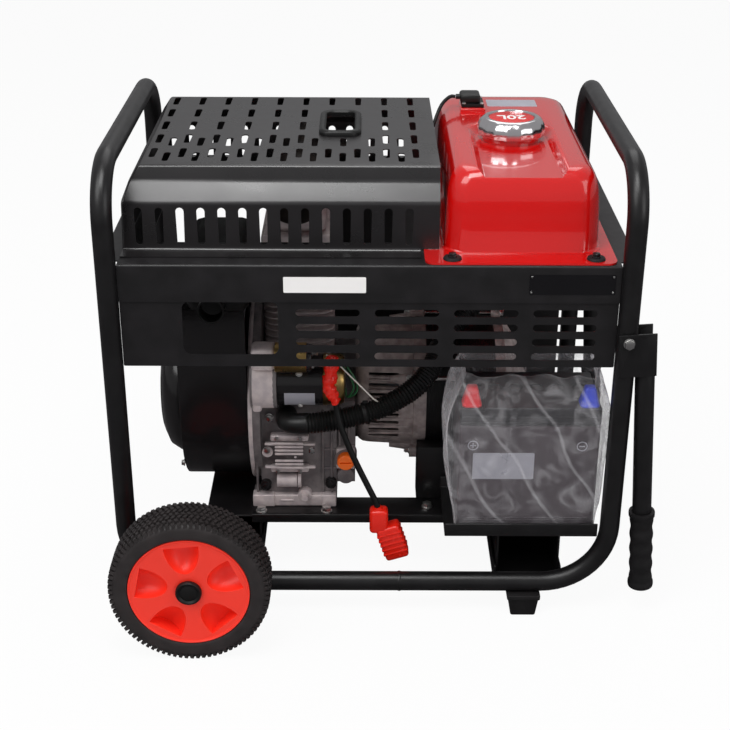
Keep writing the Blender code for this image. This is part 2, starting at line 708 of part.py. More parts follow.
def fuel_tank():
    """A pressed two-half tank: belly through the deck, seam flange on it, shouldered top."""
    seat = DECK_Z + GAP
    flange = rounded_rectangle(TANK_LEFT_X - 0.0275, TANK_RIGHT_X + 0.0185, -HALF_D + 0.002,
                               HALF_D - 0.002, 0.014)
    rings = [(tank_ring(0.030, 0.020), BELLY_Z), (tank_ring(0.020, 0.026), BELLY_Z + 0.006),
             (tank_ring(0.016, 0.028), BELLY_Z + 0.018), (tank_ring(0.0145, 0.028), seat),
             (flange, seat), (flange, seat + TANK_FLANGE_T), (tank_ring(0.0, 0.030),
                                                              seat + TANK_FLANGE_T),
             (tank_ring(0.001, 0.030), 0.590), (tank_ring(0.008, 0.028), TANK_TOP_Z - 0.014),
             (tank_ring(0.0115, 0.026), TANK_TOP_Z - 0.0055), (tank_ring(0.0185, 0.022),
                                                               TANK_TOP_Z - 0.0008),
             (tank_ring(0.022, 0.020), TANK_TOP_Z)]
    tank = loft("fuel_tank", rings, TANK_RED)
    channel_z = TANK_TOP_Z - 0.010
    trough = box("filler channel", (CAP_X - 0.0505, -0.230, channel_z), (CAP_X + 0.0505, CAP_Y,
                                                                         channel_z + 0.03),
                 None, bevel=0.003)
    well = rod("filler well", (CAP_X, CAP_Y, channel_z), (CAP_X, CAP_Y, channel_z + 0.03), 0.0505, None)
    neck = rod("filler neck", (CAP_X, CAP_Y, channel_z - 0.002), (CAP_X, CAP_Y, TANK_TOP_Z + 0.001),
               NECK_RADIUS, None, sides=32)
    pad = box("sender pad", (0.136, 0.089, TANK_TOP_Z - 0.004), (0.173, 0.139, TANK_TOP_Z + 0.0055),
              None)
    inside = [(tank_ring(0.032, 0.018), BELLY_Z + 0.002), (tank_ring(0.018, 0.026), BELLY_Z + 0.020),
              (tank_ring(0.0165, 0.028), seat), (tank_ring(0.0125, 0.028), TANK_TOP_Z - 0.014)]
    cavity = loft("tank space", inside, None)
    bore = rod("filler bore", (CAP_X, CAP_Y, TANK_TOP_Z - 0.030), (CAP_X, CAP_Y, TANK_TOP_Z + 0.010),
               NECK_BORE, None, sides=32)
    cut(tank, trough, well)
    join(tank, neck, pad)
    cut(tank, cavity, bore)


def fuel_fittings():
    cap_seat = TANK_TOP_Z + 0.001 + GAP
    plug = NECK_BORE - 2 * GAP
    cap = [(0.0, 0.0215), (0.034, 0.0205), (0.044, 0.0175), (FUEL_CAP_RADIUS, 0.0120),
           (FUEL_CAP_RADIUS, -0.001),
           (FUEL_CAP_RADIUS - 0.003, -0.003), (NECK_RADIUS + 0.001, -0.003), (NECK_RADIUS + 0.001, 0.0),
           (plug, 0.0), (plug, -0.010), (0.0, -0.010)]
    turned("fuel_cap", cap, (CAP_X, CAP_Y, cap_seat), (0, 0, 1), CHROME, steps=32)
    pad_top = TANK_TOP_Z + 0.0055 + GAP
    sender = box("fuel_sender", (0.138, 0.094, pad_top), (0.171, 0.134, pad_top + 0.005), BLACK_PLASTIC)
    body = box("sender body", (0.136, 0.097, pad_top + 0.004), (0.166, 0.131, pad_top + 0.018),
               None, bevel=0.004)
    snout = rod("sender snout", (0.138, 0.114, pad_top + 0.0115), (0.1300, 0.114, pad_top + 0.0115),
                0.004, None,
                sides=12)
    join(sender, body, snout)
    route = [(0.1300 - 2 * GAP, 0.114, pad_top + 0.0115), (0.121, 0.1135, pad_top + 0.0112),
             (0.108, 0.100, pad_top + 0.002), (0.098, 0.085, pad_top - 0.018), (0.088, 0.070,
                                                                                pad_top - 0.045),
             (0.076, 0.058, pad_top - 0.075), (0.0625, 0.052, pad_top - 0.100),
             (0.0595, 0.052, DECK_Z + 3 * GAP)]
    tube("sender_cable", smooth_route(route, 0.010), 0.0027, CABLE_BLACK, resolution=2)


# --- Battery ------------------------------------------------------------------------------
def battery():
    mid = TRAY_Z + PLATE / 2
    front = -HALF_D + PLATE / 2
    back = BATTERY_BACK_Y + 0.007
    profile = [(front, TRAY_Z + TRAY_LIP), (front, mid), (back, mid), (back, TRAY_Z + TRAY_LIP)]
    folded_sheet("battery_tray", profile, 0.110, TRAY_RIGHT_X, PLATE, "X", SATIN_BLACK)
    wrap = 0.0012
    floor = TRAY_Z + PLATE + GAP
    case_z = floor + wrap + GAP
    box("battery_case", (BATTERY_LEFT_X, BATTERY_FRONT_Y, case_z),
        (BATTERY_RIGHT_X, BATTERY_BACK_Y, BATTERY_CASE_TOP), CASE_GREY, bevel=0.003)
    lid = box("battery_lid", (BATTERY_LEFT_X, BATTERY_FRONT_Y, BATTERY_CASE_TOP + GAP),
              (BATTERY_RIGHT_X, BATTERY_BACK_Y, BATTERY_TOP), LID_BLACK, bevel=0.003)
    corner = 0.034
    for label, x in (("left", BATTERY_LEFT_X), ("right", BATTERY_RIGHT_X)):
        pocket = box(f"post corner {label}", (x - corner, BATTERY_FRONT_Y - 0.01, BATTERY_TOP - 0.002),
                     (x + corner, BATTERY_FRONT_Y + corner, BATTERY_TOP + 0.01), None)
        cut(lid, pocket)
    for name, x, finish in (("red_terminal_cap", BATTERY_LEFT_X + 0.0165, CAP_RED),
                            ("blue_terminal_cap", BATTERY_RIGHT_X - 0.0165, CAP_BLUE)):
        seat = BATTERY_TOP - 0.002 + GAP
        rings = []
        for z, half in ((seat, 0.0135), (seat + 0.006, 0.0125), (seat + 0.026, 0.0075),
                        (seat + 0.028, 0.006)):
            y = BATTERY_FRONT_Y + 0.017
            rings.append((rounded_rectangle(x - half, x + half, y - half, y + half, half * 0.45, 3), z))
        loft(name, rings, finish)
    bag_left, bag_right = BATTERY_LEFT_X - 0.0035, BATTERY_RIGHT_X + 0.0016
    bag_front, bag_back = BATTERY_FRONT_Y - 0.0035, BATTERY_BACK_Y + 0.0035
    bag = box("battery_bag", (bag_left, bag_front, floor), (bag_right, bag_back,
                                                            BATTERY_TOP + 0.031), BAG_CLEAR)
    hollow = box("bag space", (bag_left + wrap, bag_front + wrap, floor + wrap),
                 (bag_right - wrap, bag_back - wrap, BATTERY_TOP + 0.060), None)
    cut(bag, hollow)


# --- Engine -------------------------------------------------------------------------------
def crankcase():
    block = box("crankcase", (CASE_LEFT_X, -CASE_HALF_Y, BED_Z + 0.010), (CASE_RIGHT_X, CASE_HALF_Y,
                                                                          SHOULDER_Z),
                CASE_ALUMINIUM)
    deck_face = box("cylinder deck", (CASE_LEFT_X + 0.001, -0.080, SHOULDER_Z - 0.020),
                    (CASE_RIGHT_X - 0.001, 0.080, CASE_TOP_Z), None)
    pto = box("pto end", (CASE_RIGHT_X - 0.01, -0.112, 0.1346), (PTO_X, 0.112, SHOULDER_Z - 0.0015),
              None)
    bell = rod("bell flange", (-0.1747, 0, CRANK_Z), (CASE_LEFT_X + 0.002, 0, CRANK_Z), BELL_RADIUS,
               None, sides=48)
    pieces = [deck_face, pto, bell]
    for label, sign in SIDES:
        low, high = sorted((sign * 0.095, sign * 0.127))
        pieces.append(box(f"mounting feet {label}", (-0.1725, low, BED_Z + GAP),
                          (CASE_RIGHT_X - 0.002, high, BED_Z + 0.0185),
                          None))
    nose = rod("starter nose", (-0.170, STARTER_Y, STARTER_Z), (-0.1318, STARTER_Y, STARTER_Z),
               0.042, None, sides=28)
    boss = rod("oil filler boss", (-0.0330, -0.100, 0.1801), (-0.0330, -0.1250, 0.1801), 0.0165,
               None, sides=20)
    join(block, *pieces, nose, boss)
    bore = rod("crank bore", (-0.19, 0, CRANK_Z), (0.0, 0, CRANK_Z), SHAFT_RADIUS + GAP, None, sides=32)
    cut(block, bore)
    cover_left, cover_right, cover_low, cover_high = -0.1550, -0.0740, 0.1655, 0.2240
    cover = box("side_cover", (cover_left, -0.1400, cover_low), (cover_right, -CASE_HALF_Y - GAP, cover_high),
                CAST_ALUMINIUM, bevel=0.004)
    ribs = [box(f"rib groove {i}", (cover_left + 0.018, -0.145, cover_low + 0.0125 + 0.0055 * i),
                (cover_right - 0.021, -0.1375, cover_low + 0.0151 + 0.0055 * i), None) for i in range(7)]
    bpy.context.view_layer.update()
    cut(cover, join_meshes("rib grooves", ribs))
    plug = [(0.0, 0.0115), (0.0115, 0.0115), (0.0130, 0.010), (0.0130, 0.0), (0.0, 0.0)]
    cap = turned("oil_plug", plug, (-0.0330, -0.1250 - GAP, 0.1801), (0, -1, 0), PLUG_ORANGE, steps=24)
    slot = box("finger slot", (-0.050, -0.1400, 0.1786), (-0.010, -0.1335, 0.1816), None)
    cut(cap, slot)


def cylinder():
    seat = CASE_TOP_Z + GAP
    fins = 5
    pitch = 0.0220
    profile = [(0.040, seat + 0.122)]
    for fin in reversed(range(fins)):
        z = seat + 0.010 + pitch * fin
        profile += [(0.044, z + 0.010), (0.053, z + 0.0085), (0.053, z + 0.0045), (0.044, z + 0.003)]
    profile = [(0.0, profile[0][1])] + profile + [(0.044, seat), (0.0, seat)]
    x = (CASE_LEFT_X + CASE_RIGHT_X) / 2
    barrel = turned("cylinder_and_head", profile, (x, 0, 0), (0, 0, 1), CAST_ALUMINIUM, steps=18)
    head = box("head casting", (x - 0.052, -0.062, seat + 0.120), (x + 0.052, 0.062,
                                                                   HEAD_TOP_Z - 0.030), None,
               bevel=0.004)
    rocker = box("rocker cover", (x - 0.042, -0.050, HEAD_TOP_Z - 0.032), (x + 0.042, 0.050,
                                                                           HEAD_TOP_Z), None,
                 bevel=0.008)
    join(barrel, head, rocker)
    can = [(0.0, 0.130), (0.030, 0.130), (MUFFLER_RADIUS, 0.122), (MUFFLER_RADIUS, -0.122),
           (0.030, -0.130),
           (0.0, -0.130)]
    muffler = turned("muffler", can, (x, 0.010, MUFFLER_Z), (0, 1, 0), MUFFLER_STEEL, steps=28)
    outlet = rod("tail pipe", (x + 0.03, 0.110, MUFFLER_Z), (x + 0.085, 0.110, MUFFLER_Z), 0.013,
                 None, sides=16)
    join(muffler, outlet)


def blower():
    """The sheet shroud that drives air from the flywheel fan over the cylinder."""
    wall = 0.002

    def shroud(name, radius, top, start, end, finish):
        outline = [(-radius, top - CRANK_Z)] + arc((0, 0), radius, 180, 360,
                                                   20) + [(radius, top - CRANK_Z)]
        shape = loft(name, [(outline, start), (outline, end)], finish)
        shape.rotation_euler = (math.radians(90), 0, math.radians(90))
        shape.location = (0, 0, CRANK_Z)
        return shape

    housing = shroud("blower_housing", BLOWER_RADIUS, BLOWER_TOP_Z, BLOWER_LEFT_X, BLOWER_RIGHT_X,
                     GLOSS_BLACK)
    hollow = shroud("blower space", BLOWER_RADIUS - wall, BLOWER_TOP_Z - wall, BLOWER_LEFT_X + wall,
                    BLOWER_RIGHT_X + 0.01, None)
    eye = rod("fan eye", (BLOWER_LEFT_X - 0.01, 0, CRANK_Z), (BLOWER_LEFT_X + 0.01, 0, CRANK_Z),
              0.085, None,
              sides=32)
    cut(housing, hollow, eye)
    cover = [(0.0, 0.0026), (0.078, 0.0026), (0.096, 0.0110), (0.1055, 0.0250), (0.1055, 0.0354),
             (0.1075, 0.0354), (0.1075, 0.0240), (0.098, 0.0090), (0.080, 0.0006), (0.0, 0.0006)]
    turned("fan_cover", cover, (BLOWER_LEFT_X - 0.0357, 0, CRANK_Z), (1, 0, 0), GLOSS_BLACK, steps=32)
    filter_box = box("air_cleaner", (-0.256, -0.165, BLOWER_TOP_Z + GAP), (-0.166, -0.020, 0.530),
                     BLACK_PLASTIC,
                     bevel=0.018, segments=3)
    snorkel = rod("intake stub", (-0.2165, -0.150, 0.4500), (-0.2165, -0.195, 0.4500), 0.0185, None)
    inlet = rod("intake bore", (-0.2165, -0.170, 0.4500), (-0.2165, -0.200, 0.4500), 0.0160, None)
    join(filter_box, snorkel)
    cut(filter_box, inlet)


def starter():
    """Starter motor with its solenoid above, and the rubber boot over the live stud."""
    face = -0.1318 + GAP
    motor = [(0.0, 0.0), (0.030, 0.0), (STARTER_RADIUS - 0.002, -0.003),
             (STARTER_RADIUS - 0.002, -0.024),
             (STARTER_RADIUS, -0.025), (STARTER_RADIUS, -0.098), (0.0, -0.098)]
    body = turned("starter_motor", [(r, z + 0.098) for r, z in motor], (face, STARTER_Y, STARTER_Z),
                  (1, 0, 0),
                  STARTER_BLACK, steps=28)
    coil = rod("solenoid", (-0.130, -0.160, 0.3650), (-0.0876, -0.160, 0.3650), 0.0215, None, sides=20)
    tie = box("solenoid saddle", (-0.1290, -0.158, 0.338), (-0.0900, -0.136, 0.352), None)
    stud = rod("live stud", (-0.090, -0.172, 0.3600), (-0.0620, -0.172, 0.3600), 0.004, None, sides=12)
    join(body, coil, tie, stud)
    boot = box("lead_boot", (-0.0612, -0.186, 0.318), (-0.0425, -0.164, 0.3690), BOOT_RED, bevel=0.005)
    neck = rod("boot neck", (-0.0500, -0.176, 0.325), (-0.0462, -0.178, 0.3020), 0.0085, None, sides=16,
               end_radius=0.0062)
    join(boot, neck)


def alternator():
    start = PTO_X + GAP
    wall = 0.005
    r = ALTERNATOR_RADIUS
    shell = [(0.040, start), (r - 0.0139, start), (r - 0.0059, start + 0.008), (r, STATOR_START_X - GAP - 0.012),
             (r, STATOR_START_X - GAP), (r - wall, STATOR_START_X - GAP), (r - 0.0059 - wall, start + 0.010),
             (r - 0.0179, start + wall), (0.040, start + wall)]
    shell = [(radius, x) for radius, x in reversed(shell)]
    adapter = turned("alternator_adapter", shell, (0, 0, CRANK_Z), (1, 0, 0), ADAPTER_GREY, steps=32)
    slots = [box(f"vent {i}", (0.000, -0.12, CRANK_Z + z - 0.0028), (0.046, 0.12,
                                                                     CRANK_Z + z + 0.0028), None)
             for i, z in enumerate((-0.052, -0.038, -0.024, -0.010, 0.008, 0.022, 0.036, 0.050))]
    bpy.context.view_layer.update()
    vents = join_meshes("adapter vents", slots)
    rod_radius, bolt_circle = 0.0035, r + 0.0066
    lugs, rods = [], []
    for number in range(4):
        angle = math.radians(-118 + 90 * number)
        y, z = math.cos(angle) * bolt_circle, CRANK_Z + math.sin(angle) * bolt_circle
        lugs.append(rod(f"adapter lug {number}", (0.066, y, z), (STATOR_START_X - GAP, y, z),
                        0.0115, None, sides=12))
        rods.append(rod(f"tie rod {number}", (STATOR_START_X, y, z), (STATOR_END_X + 0.012, y, z),
                        rod_radius,
                        None, sides=8))
        rods.append(rod(f"cover lug {number}", (STATOR_END_X + GAP, y, z), (STATOR_END_X + 0.014, y,
                                                                            z), 0.0100,
                        None, sides=12))
    relief = rod("stator clearance", (STATOR_START_X - GAP, 0, CRANK_Z), (0.2, 0, CRANK_Z),
                 r + 2 * GAP, None,
                 sides=40)
    saddle = []
    for label, sign in SIDES:
        low, high = sorted((sign * 0.68 * r, sign * 0.105))
        block = box(f"saddle {label}", (0.0745, low, BED_Z + GAP), (0.150, high, SADDLE_TOP_Z), None)
        saddle.append(cut(block, relief))
    join(adapter, *lugs, *saddle)
    cut(adapter, vents)
    core = [(ROTOR_RADIUS + 0.001, STATOR_END_X), (ALTERNATOR_RADIUS - 0.001, STATOR_END_X),
            (ALTERNATOR_RADIUS - 0.001, STATOR_START_X), (ROTOR_RADIUS + 0.001, STATOR_START_X)]
    turned("alternator_stator", core, (0, 0, CRANK_Z), (1, 0, 0), STATOR_BLACK, steps=40)
    near, far = STATOR_END_X + GAP, STATOR_END_X + 0.052
    bearing = 0.0125 + GAP
    cover = [(0.0, far), (0.030, far), (0.060, far - 0.010), (r - 0.0079, near + 0.022),
             (r - 0.0014, near + 0.014), (r - 0.0014, near), (r - 0.0064, near), (r - 0.0064, near + 0.012),
             (0.055, far - 0.016), (0.024, far - 0.016), (0.024, far - 0.030), (bearing, far - 0.030),
             (bearing, far - 0.006), (0.0, far - 0.006)]
    end_cover = turned("alternator_end_cover", cover, (0, 0, CRANK_Z), (1, 0, 0), CAST_ALUMINIUM,
                       steps=32)
    foot = box("alternator foot", (near + 0.001, -0.070, RISER_RIGHT_TOP + GAP),
               (near + 0.026, 0.070, 0.168), None)
    clear = turned("foot relief", [(0.0, near + 0.040), (r - 0.0059, near + 0.040), (r - 0.0059, near - 0.01),
                                   (0.0, near - 0.01)],
                   (0, 0, CRANK_Z), (1, 0, 0), None, steps=40)
    cut(foot, clear)
    join(end_cover, foot, *rods)
    shaft = [(0.0, far - 0.007), (0.0125, far - 0.007), (0.0125, far - 0.034),
             (SHAFT_RADIUS, far - 0.036),
             (SHAFT_RADIUS, STATOR_END_X - 0.004), (ROTOR_RADIUS, STATOR_END_X - 0.004),
             (ROTOR_RADIUS, STATOR_START_X + 0.004), (SHAFT_RADIUS + 0.004, STATOR_START_X + 0.004),
             (SHAFT_RADIUS + 0.004, 0.066), (0.076, 0.066), (0.076, 0.054), (SHAFT_RADIUS + 0.004,
                                                                             0.050),
             (SHAFT_RADIUS + 0.004, 0.000), (SHAFT_RADIUS, 0.000), (SHAFT_RADIUS, -0.1755), (0.045,
                                                                                             -0.1765),
             (0.120, -0.186), (0.120, -0.236), (0.090, -0.240), (0.022, -0.240), (0.022,
                                                                                  -0.262), (0.0,
                                                                                            -0.262)]
    turned("crankshaft_rotor", shaft, (0, 0, CRANK_Z), (1, 0, 0), SHAFT_STEEL, steps=24)


def conduit_and_lead():
    """The corrugated hose over the starter side and the free battery lead, as plain round tubes."""
    hose = [(-0.120, -CASE_HALF_Y - 6 * GAP, 0.2545), (-0.120, -0.136, 0.2545), (-0.113, -0.1510,
                                                                                 0.2552),
            (-0.090, -0.1580, 0.2580), (-0.055, -0.1585, 0.2625), (-0.020, -0.1570, 0.2700),
            (0.015, -0.1530, 0.2800), (0.050, -0.1440, 0.2960), (0.076, -0.1290, 0.3110),
            (0.095, -0.1080, 0.3300), (0.108, -0.0860, 0.3520), (0.126, -0.0620, 0.3720),
            (0.150, -0.0300, 0.3860), (0.174, 0.0150, 0.3920), (0.193, 0.0750, 0.3900),
            (0.202, 0.1350, 0.3850), (0.202, HALF_D - CONTROL_DEPTH - 0.0020, 0.3850)]
    tube("wiring_conduit", smooth_route(hose, 0.020), 0.0160, CONDUIT_BLACK, resolution=4)
    lead = [(-0.0461, -0.1783, 0.3012), (-0.0450, -0.1800, 0.2900), (-0.0400, -0.1850, 0.2700),
            (-0.0330, -0.1880, 0.2500), (-0.0170, -0.1930, 0.2120), (0.0000, -0.1975, 0.1760),
            (0.0095, -0.1995, 0.1560), (0.0140, -0.2000, 0.1440)]
    tube("battery_lead", smooth_route(lead, 0.012), 0.0045, CABLE_BLACK, resolution=2)
    clamp = box("lead_clamp", (-0.0130, -0.0120, -0.0400), (0.0150, 0.0120, -GAP), BOOT_RED,
                bevel=0.006)
    claw = box("clamp claw", (-0.0150, -0.0130, -0.0880), (0.0220, 0.0130, -0.0300), None, bevel=0.004)
    for piece in (clamp, claw):
        piece.location = Vector((0.0150, -0.2002, 0.1418)) + piece.location
    claw.rotation_euler = (0, math.radians(-18), 0)
    join(clamp, claw)


# --- Controls -----------------------------------------------------------------------------
def controls():
    """The control box on the back: a folded shell with its outlets, knob, key and breaker."""
    back = HALF_D - DECK_SHEET / 2 - GAP
    front = back - CONTROL_DEPTH
    shell = box("control_panel", (CONTROL_LEFT_X, front, CONTROL_BOTTOM_Z), (CONTROL_RIGHT_X, back,
                                                                             CONTROL_TOP_Z),
                PANEL_BLACK)
    space = box("control space", (CONTROL_LEFT_X + SHEET, front + SHEET, CONTROL_BOTTOM_Z + SHEET),
                (CONTROL_RIGHT_X - SHEET, back - SHEET, CONTROL_TOP_Z + 0.01), None)
    cut(shell, space)
    entry = rod("cable entry", (0.202, front - 0.01, 0.385), (0.202, front + 0.01, 0.385), 0.0120,
                None, sides=16)
    cut(shell, entry)
    for name, x in (("positive", 0.215), ("negative", 0.275)):
        z = 0.315
        hole = rod(f"terminal hole {name}", (x, back - 0.01, z), (x, back + 0.01, z),
                   0.0100 + 2 * GAP, None, sides=16)
        cut(shell, hole)
        stud = [(0.0, 0.034), (0.0085, 0.034), (0.0100, 0.032), (0.0100, 0.022), (0.0165, 0.020),
                (0.0185, 0.016),
                (0.0185, 0.003), (0.0170, GAP), (0.0100, GAP), (0.0100, -0.010), (0.0, -0.010)]
        turned(f"weld_terminal_{name}", stud, (x, back, z), (0, 1, 0),
               TERMINAL_BRASS if name == "positive"
               else TERMINAL_DARK, steps=16)
    shaft_hole = rod("knob hole", (0.040, back - 0.01, 0.410), (0.040, back + 0.01, 0.410),
                     0.004 + 2 * GAP, None,
                     sides=12)
    key_hole = rod("key hole", (-0.060, back - 0.01, 0.430), (-0.060, back + 0.01, 0.430),
                   0.006 + 2 * GAP, None,
                   sides=12)
    cut(shell, shaft_hole, key_hole)
    knob = [(0.0, 0.018), (0.017, 0.018), (0.019, 0.015), (0.021, GAP), (0.004, GAP),
            (0.004, -0.008), (0.0, -0.008)]
    turned("current_knob", knob, (0.040, back, 0.410), (0, 1, 0), KNOB_BLACK, steps=28)
    barrel = [(0.0, 0.004), (0.010, 0.004), (0.011, GAP), (0.006, GAP), (0.006, -0.014), (0.0, -0.014)]
    key = turned("key_switch", barrel, (-0.060, back, 0.430), (0, 1, 0), ZINC_STEEL, steps=20)
    bow = box("key bow", (-0.0615, back + 0.003, 0.4190), (-0.0585, back + 0.026, 0.4410), None)
    join(key, bow)


# --- Assembly -----------------------------------------------------------------------------
clear_scene()
MODEL = collection("engine driven welder")
HELPERS = collection("cutters and guides")
SIDES = (("front", -1), ("rear", 1))

SATIN_BLACK = material("satin black powder coat", "141414", 0.0, 0.42)
DECK_BLACK = material("black deck coat", "1b1a1b", 0.0, 0.45)
PANEL_BLACK = material("black panel coat", "161616", 0.0, 0.48)
SHIELD_GREY = material("grey heat coat", "4a4447", 0.3, 0.45)
GLOSS_BLACK = material("gloss black pressed steel", "0d0d0e", 0.0, 0.22)
BLACK_PLASTIC = material("black moulded plastic", "151515", 0.0, 0.50)
BLACK_RUBBER = material("black rubber", "101010", 0.0, 0.75)
TYRE_BLACK = material("tyre rubber", "1c1b1b", 0.0, 0.80)
GRIP_RUBBER = material("grip rubber", "121212", 0.0, 0.65)
WHEEL_RED = material("red moulded wheel", "e6301c", 0.0, 0.42)
TANK_RED = material("red tank enamel", "c81410", 0.0, 0.16)
CHROME = material("chrome", "d8d8da", 1.0, 0.12)
ZINC_STEEL = material("zinc plated steel", "b9b7ae", 1.0, 0.35)
CAST_ALUMINIUM = material("cast aluminium", "b3aaa6", 0.8, 0.45)
CASE_ALUMINIUM = material("grey cast case", "8d8583", 0.7, 0.50)
ADAPTER_GREY = material("grey cast adapter", "8c8280", 0.6, 0.50)
STATOR_BLACK = material("black lamination coat", "121212", 0.1, 0.55)
SHAFT_STEEL = material("machined steel", "8f8f92", 1.0, 0.35)
MUFFLER_STEEL = material("black heat paint", "202020", 0.2, 0.60)
STARTER_BLACK = material("starter black", "0e0e10", 0.1, 0.30)
CASE_GREY = material("grey battery case", "565055", 0.0, 0.55)
LID_BLACK = material("black battery lid", "1d1c1f", 0.0, 0.50)
CAP_RED = material("red soft cap", "d8202a", 0.0, 0.45)
CAP_BLUE = material("blue soft cap", "2038c8", 0.0, 0.45)
BOOT_RED = material("red vinyl boot", "f02a14", 0.0, 0.35)
BAG_CLEAR = material("clear film", "d9d4dc", 0.0, 0.20)
PLUG_ORANGE = material("orange oil plug", "f26a10", 0.0, 0.40)
CABLE_BLACK = material("black cable jacket", "0f0f0f", 0.0, 0.50)
CONDUIT_BLACK = material("corrugated black conduit", "131313", 0.0, 0.45)
TERMINAL_BRASS = material("brass terminal", "b08a3c", 1.0, 0.35)
TERMINAL_DARK = material("dark terminal", "2a2a2a", 0.3, 0.45)
KNOB_BLACK = material("black knob", "101010", 0.0, 0.40)

frame_hoops()
bed()
feet()
running_gear()
for side_label, side_sign in SIDES:
    tow_handle(side_label, side_sign)
deck()
side_panel()
heat_shield()
fuel_tank()
fuel_fittings()
battery()
crankcase()
cylinder()
blower()
starter()
alternator()
conduit_and_lead()
controls()

machine = bpy.data.objects.new("machine", None)
HELPERS.objects.link(machine)
machine.location = (-(BOX_LEFT_X + BOX_RIGHT_X) / 2, 0, 0)
for piece in bpy.data.objects:
    if piece.parent is None and piece is not machine:
        piece.parent = machine
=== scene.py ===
# %% [markdown]
# # Engine driven welder
# An open-frame diesel welding generator: a bent-tube cradle on two wheels, a folded deck with the
# fuel tank and a slotted heat shield on top, and the engine, starter, alternator and battery below.
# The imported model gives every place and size. This script gives each surface its real shape and
# finish, and never moves what it is given.

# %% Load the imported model
import json
import math

import bmesh
import bpy
from mathutils import Matrix, Vector, noise

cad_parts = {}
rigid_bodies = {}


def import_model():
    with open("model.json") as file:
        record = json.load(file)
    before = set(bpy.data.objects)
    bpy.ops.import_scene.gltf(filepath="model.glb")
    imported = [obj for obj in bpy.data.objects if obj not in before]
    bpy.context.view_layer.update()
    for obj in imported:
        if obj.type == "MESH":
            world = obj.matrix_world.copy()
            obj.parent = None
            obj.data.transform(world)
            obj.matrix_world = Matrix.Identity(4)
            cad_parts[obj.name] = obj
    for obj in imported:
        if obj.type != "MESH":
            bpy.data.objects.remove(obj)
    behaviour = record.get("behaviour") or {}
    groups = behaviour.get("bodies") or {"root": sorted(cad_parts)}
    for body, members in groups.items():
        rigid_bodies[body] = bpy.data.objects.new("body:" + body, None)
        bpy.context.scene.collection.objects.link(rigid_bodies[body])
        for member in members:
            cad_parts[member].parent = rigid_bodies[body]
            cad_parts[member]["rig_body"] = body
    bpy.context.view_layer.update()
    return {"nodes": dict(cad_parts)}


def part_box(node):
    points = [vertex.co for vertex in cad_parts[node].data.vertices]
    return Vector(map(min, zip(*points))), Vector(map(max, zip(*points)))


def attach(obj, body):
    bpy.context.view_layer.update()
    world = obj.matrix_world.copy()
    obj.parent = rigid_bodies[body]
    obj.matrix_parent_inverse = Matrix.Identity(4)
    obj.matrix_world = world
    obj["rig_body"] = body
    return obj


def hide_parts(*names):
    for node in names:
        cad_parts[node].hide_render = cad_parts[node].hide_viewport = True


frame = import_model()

# %% [markdown]
# The machine was laid out from the middle of its tube frame, so every place below is measured from
# there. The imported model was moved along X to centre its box, and X0 is that move.

# %% Driving sizes, in metres
X0 = (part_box("frame_left_hoop")[0][0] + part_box("frame_right_hoop")[1][0]) / 2
GAP = 0.0003                      # between pieces that touch
HALF_L = 0.3456                   # half the distance between upright centres, along X
HALF_D = 0.24535                  # the same along Y
TUBE_R = 0.014
BOTTOM_Z = 0.0454                 # bottom tube centre
TOP_BAR_Z = 0.6641
DECK_Z = 0.538                    # top of the deck
CRANK_Z = 0.250
print("frame middle at x =", round(X0, 4))

# %% [markdown]
# ## Camera and light
# The camera stands well back with a long lens and looks down about 25 degrees, which keeps the
# uprights nearly parallel. One large soft lamp over the left shoulder draws long highlights on the
# tubes, a weaker one fills the right side, a third from above lights the tank and the deck, and a
# weak one stands behind. The pale floor lights the machine from below.

# %% Camera
camera = bpy.data.objects.new("camera", bpy.data.cameras.new("camera"))
bpy.context.scene.collection.objects.link(camera)
camera.location = (X0 - 0.0095, -1.9431, 1.2036)
camera.rotation_euler = [math.radians(turn) for turn in (64.504, -0.233, -0.032)]
camera.data.sensor_width = 36
camera.data.lens = 68.63
bpy.context.scene.camera = camera


# %% Colour conversion and the node helper
def linear(hex_colour):
    """Turn an sRGB hex colour into the linear values that a shader takes."""
    channels = [int(hex_colour[i:i + 2], 16) / 255 for i in (0, 2, 4)]
    return [c / 12.92 if c <= 0.04045 else ((c + 0.055) / 1.055) ** 2.4 for c in channels] + [1.0]


def add(tree, kind, inputs=None, **settings):
    """Add one node, with its settings, and with a value or a link for each named input."""
    node = tree.nodes.new(kind)
    for key, value in settings.items():
        setattr(node, key, value)
    for key, value in (inputs or {}).items():
        if isinstance(value, bpy.types.NodeSocket):
            tree.links.new(value, node.inputs[key])
        else:
            node.inputs[key].default_value = value
    return node


# %% Floor, world and lamps
def studio_white(tree, colour, share):
    """A share of plain white for the camera, which leaves some real shading for the shadow."""
    light = add(tree, "ShaderNodeLightPath")
    through = add(tree, "ShaderNodeMath",
                  {0: light.outputs["Is Camera Ray"], 1: light.outputs["Is Transmission Ray"]},
                  operation="MAXIMUM")
    amount = add(tree, "ShaderNodeMath", {0: through.outputs[0], 1: share}, operation="MULTIPLY")
    return amount, add(tree, "ShaderNodeEmission", {"Color": colour, "Strength": 1.0})


FLOOR_WHITE = linear("ffffff")
floor_bm = bmesh.new()
bmesh.ops.create_grid(floor_bm, x_segments=1, y_segments=1, size=8.0)
floor_mesh = bpy.data.meshes.new("floor")
floor_bm.to_mesh(floor_mesh)
floor_bm.free()
floor = bpy.data.objects.new("floor", floor_mesh)
bpy.context.scene.collection.objects.link(floor)
floor_paint = bpy.data.materials.new("white studio floor")
floor_paint.use_nodes = True
tree = floor_paint.node_tree
matt = tree.nodes["Principled BSDF"]
matt.inputs["Roughness"].default_value = 0.9
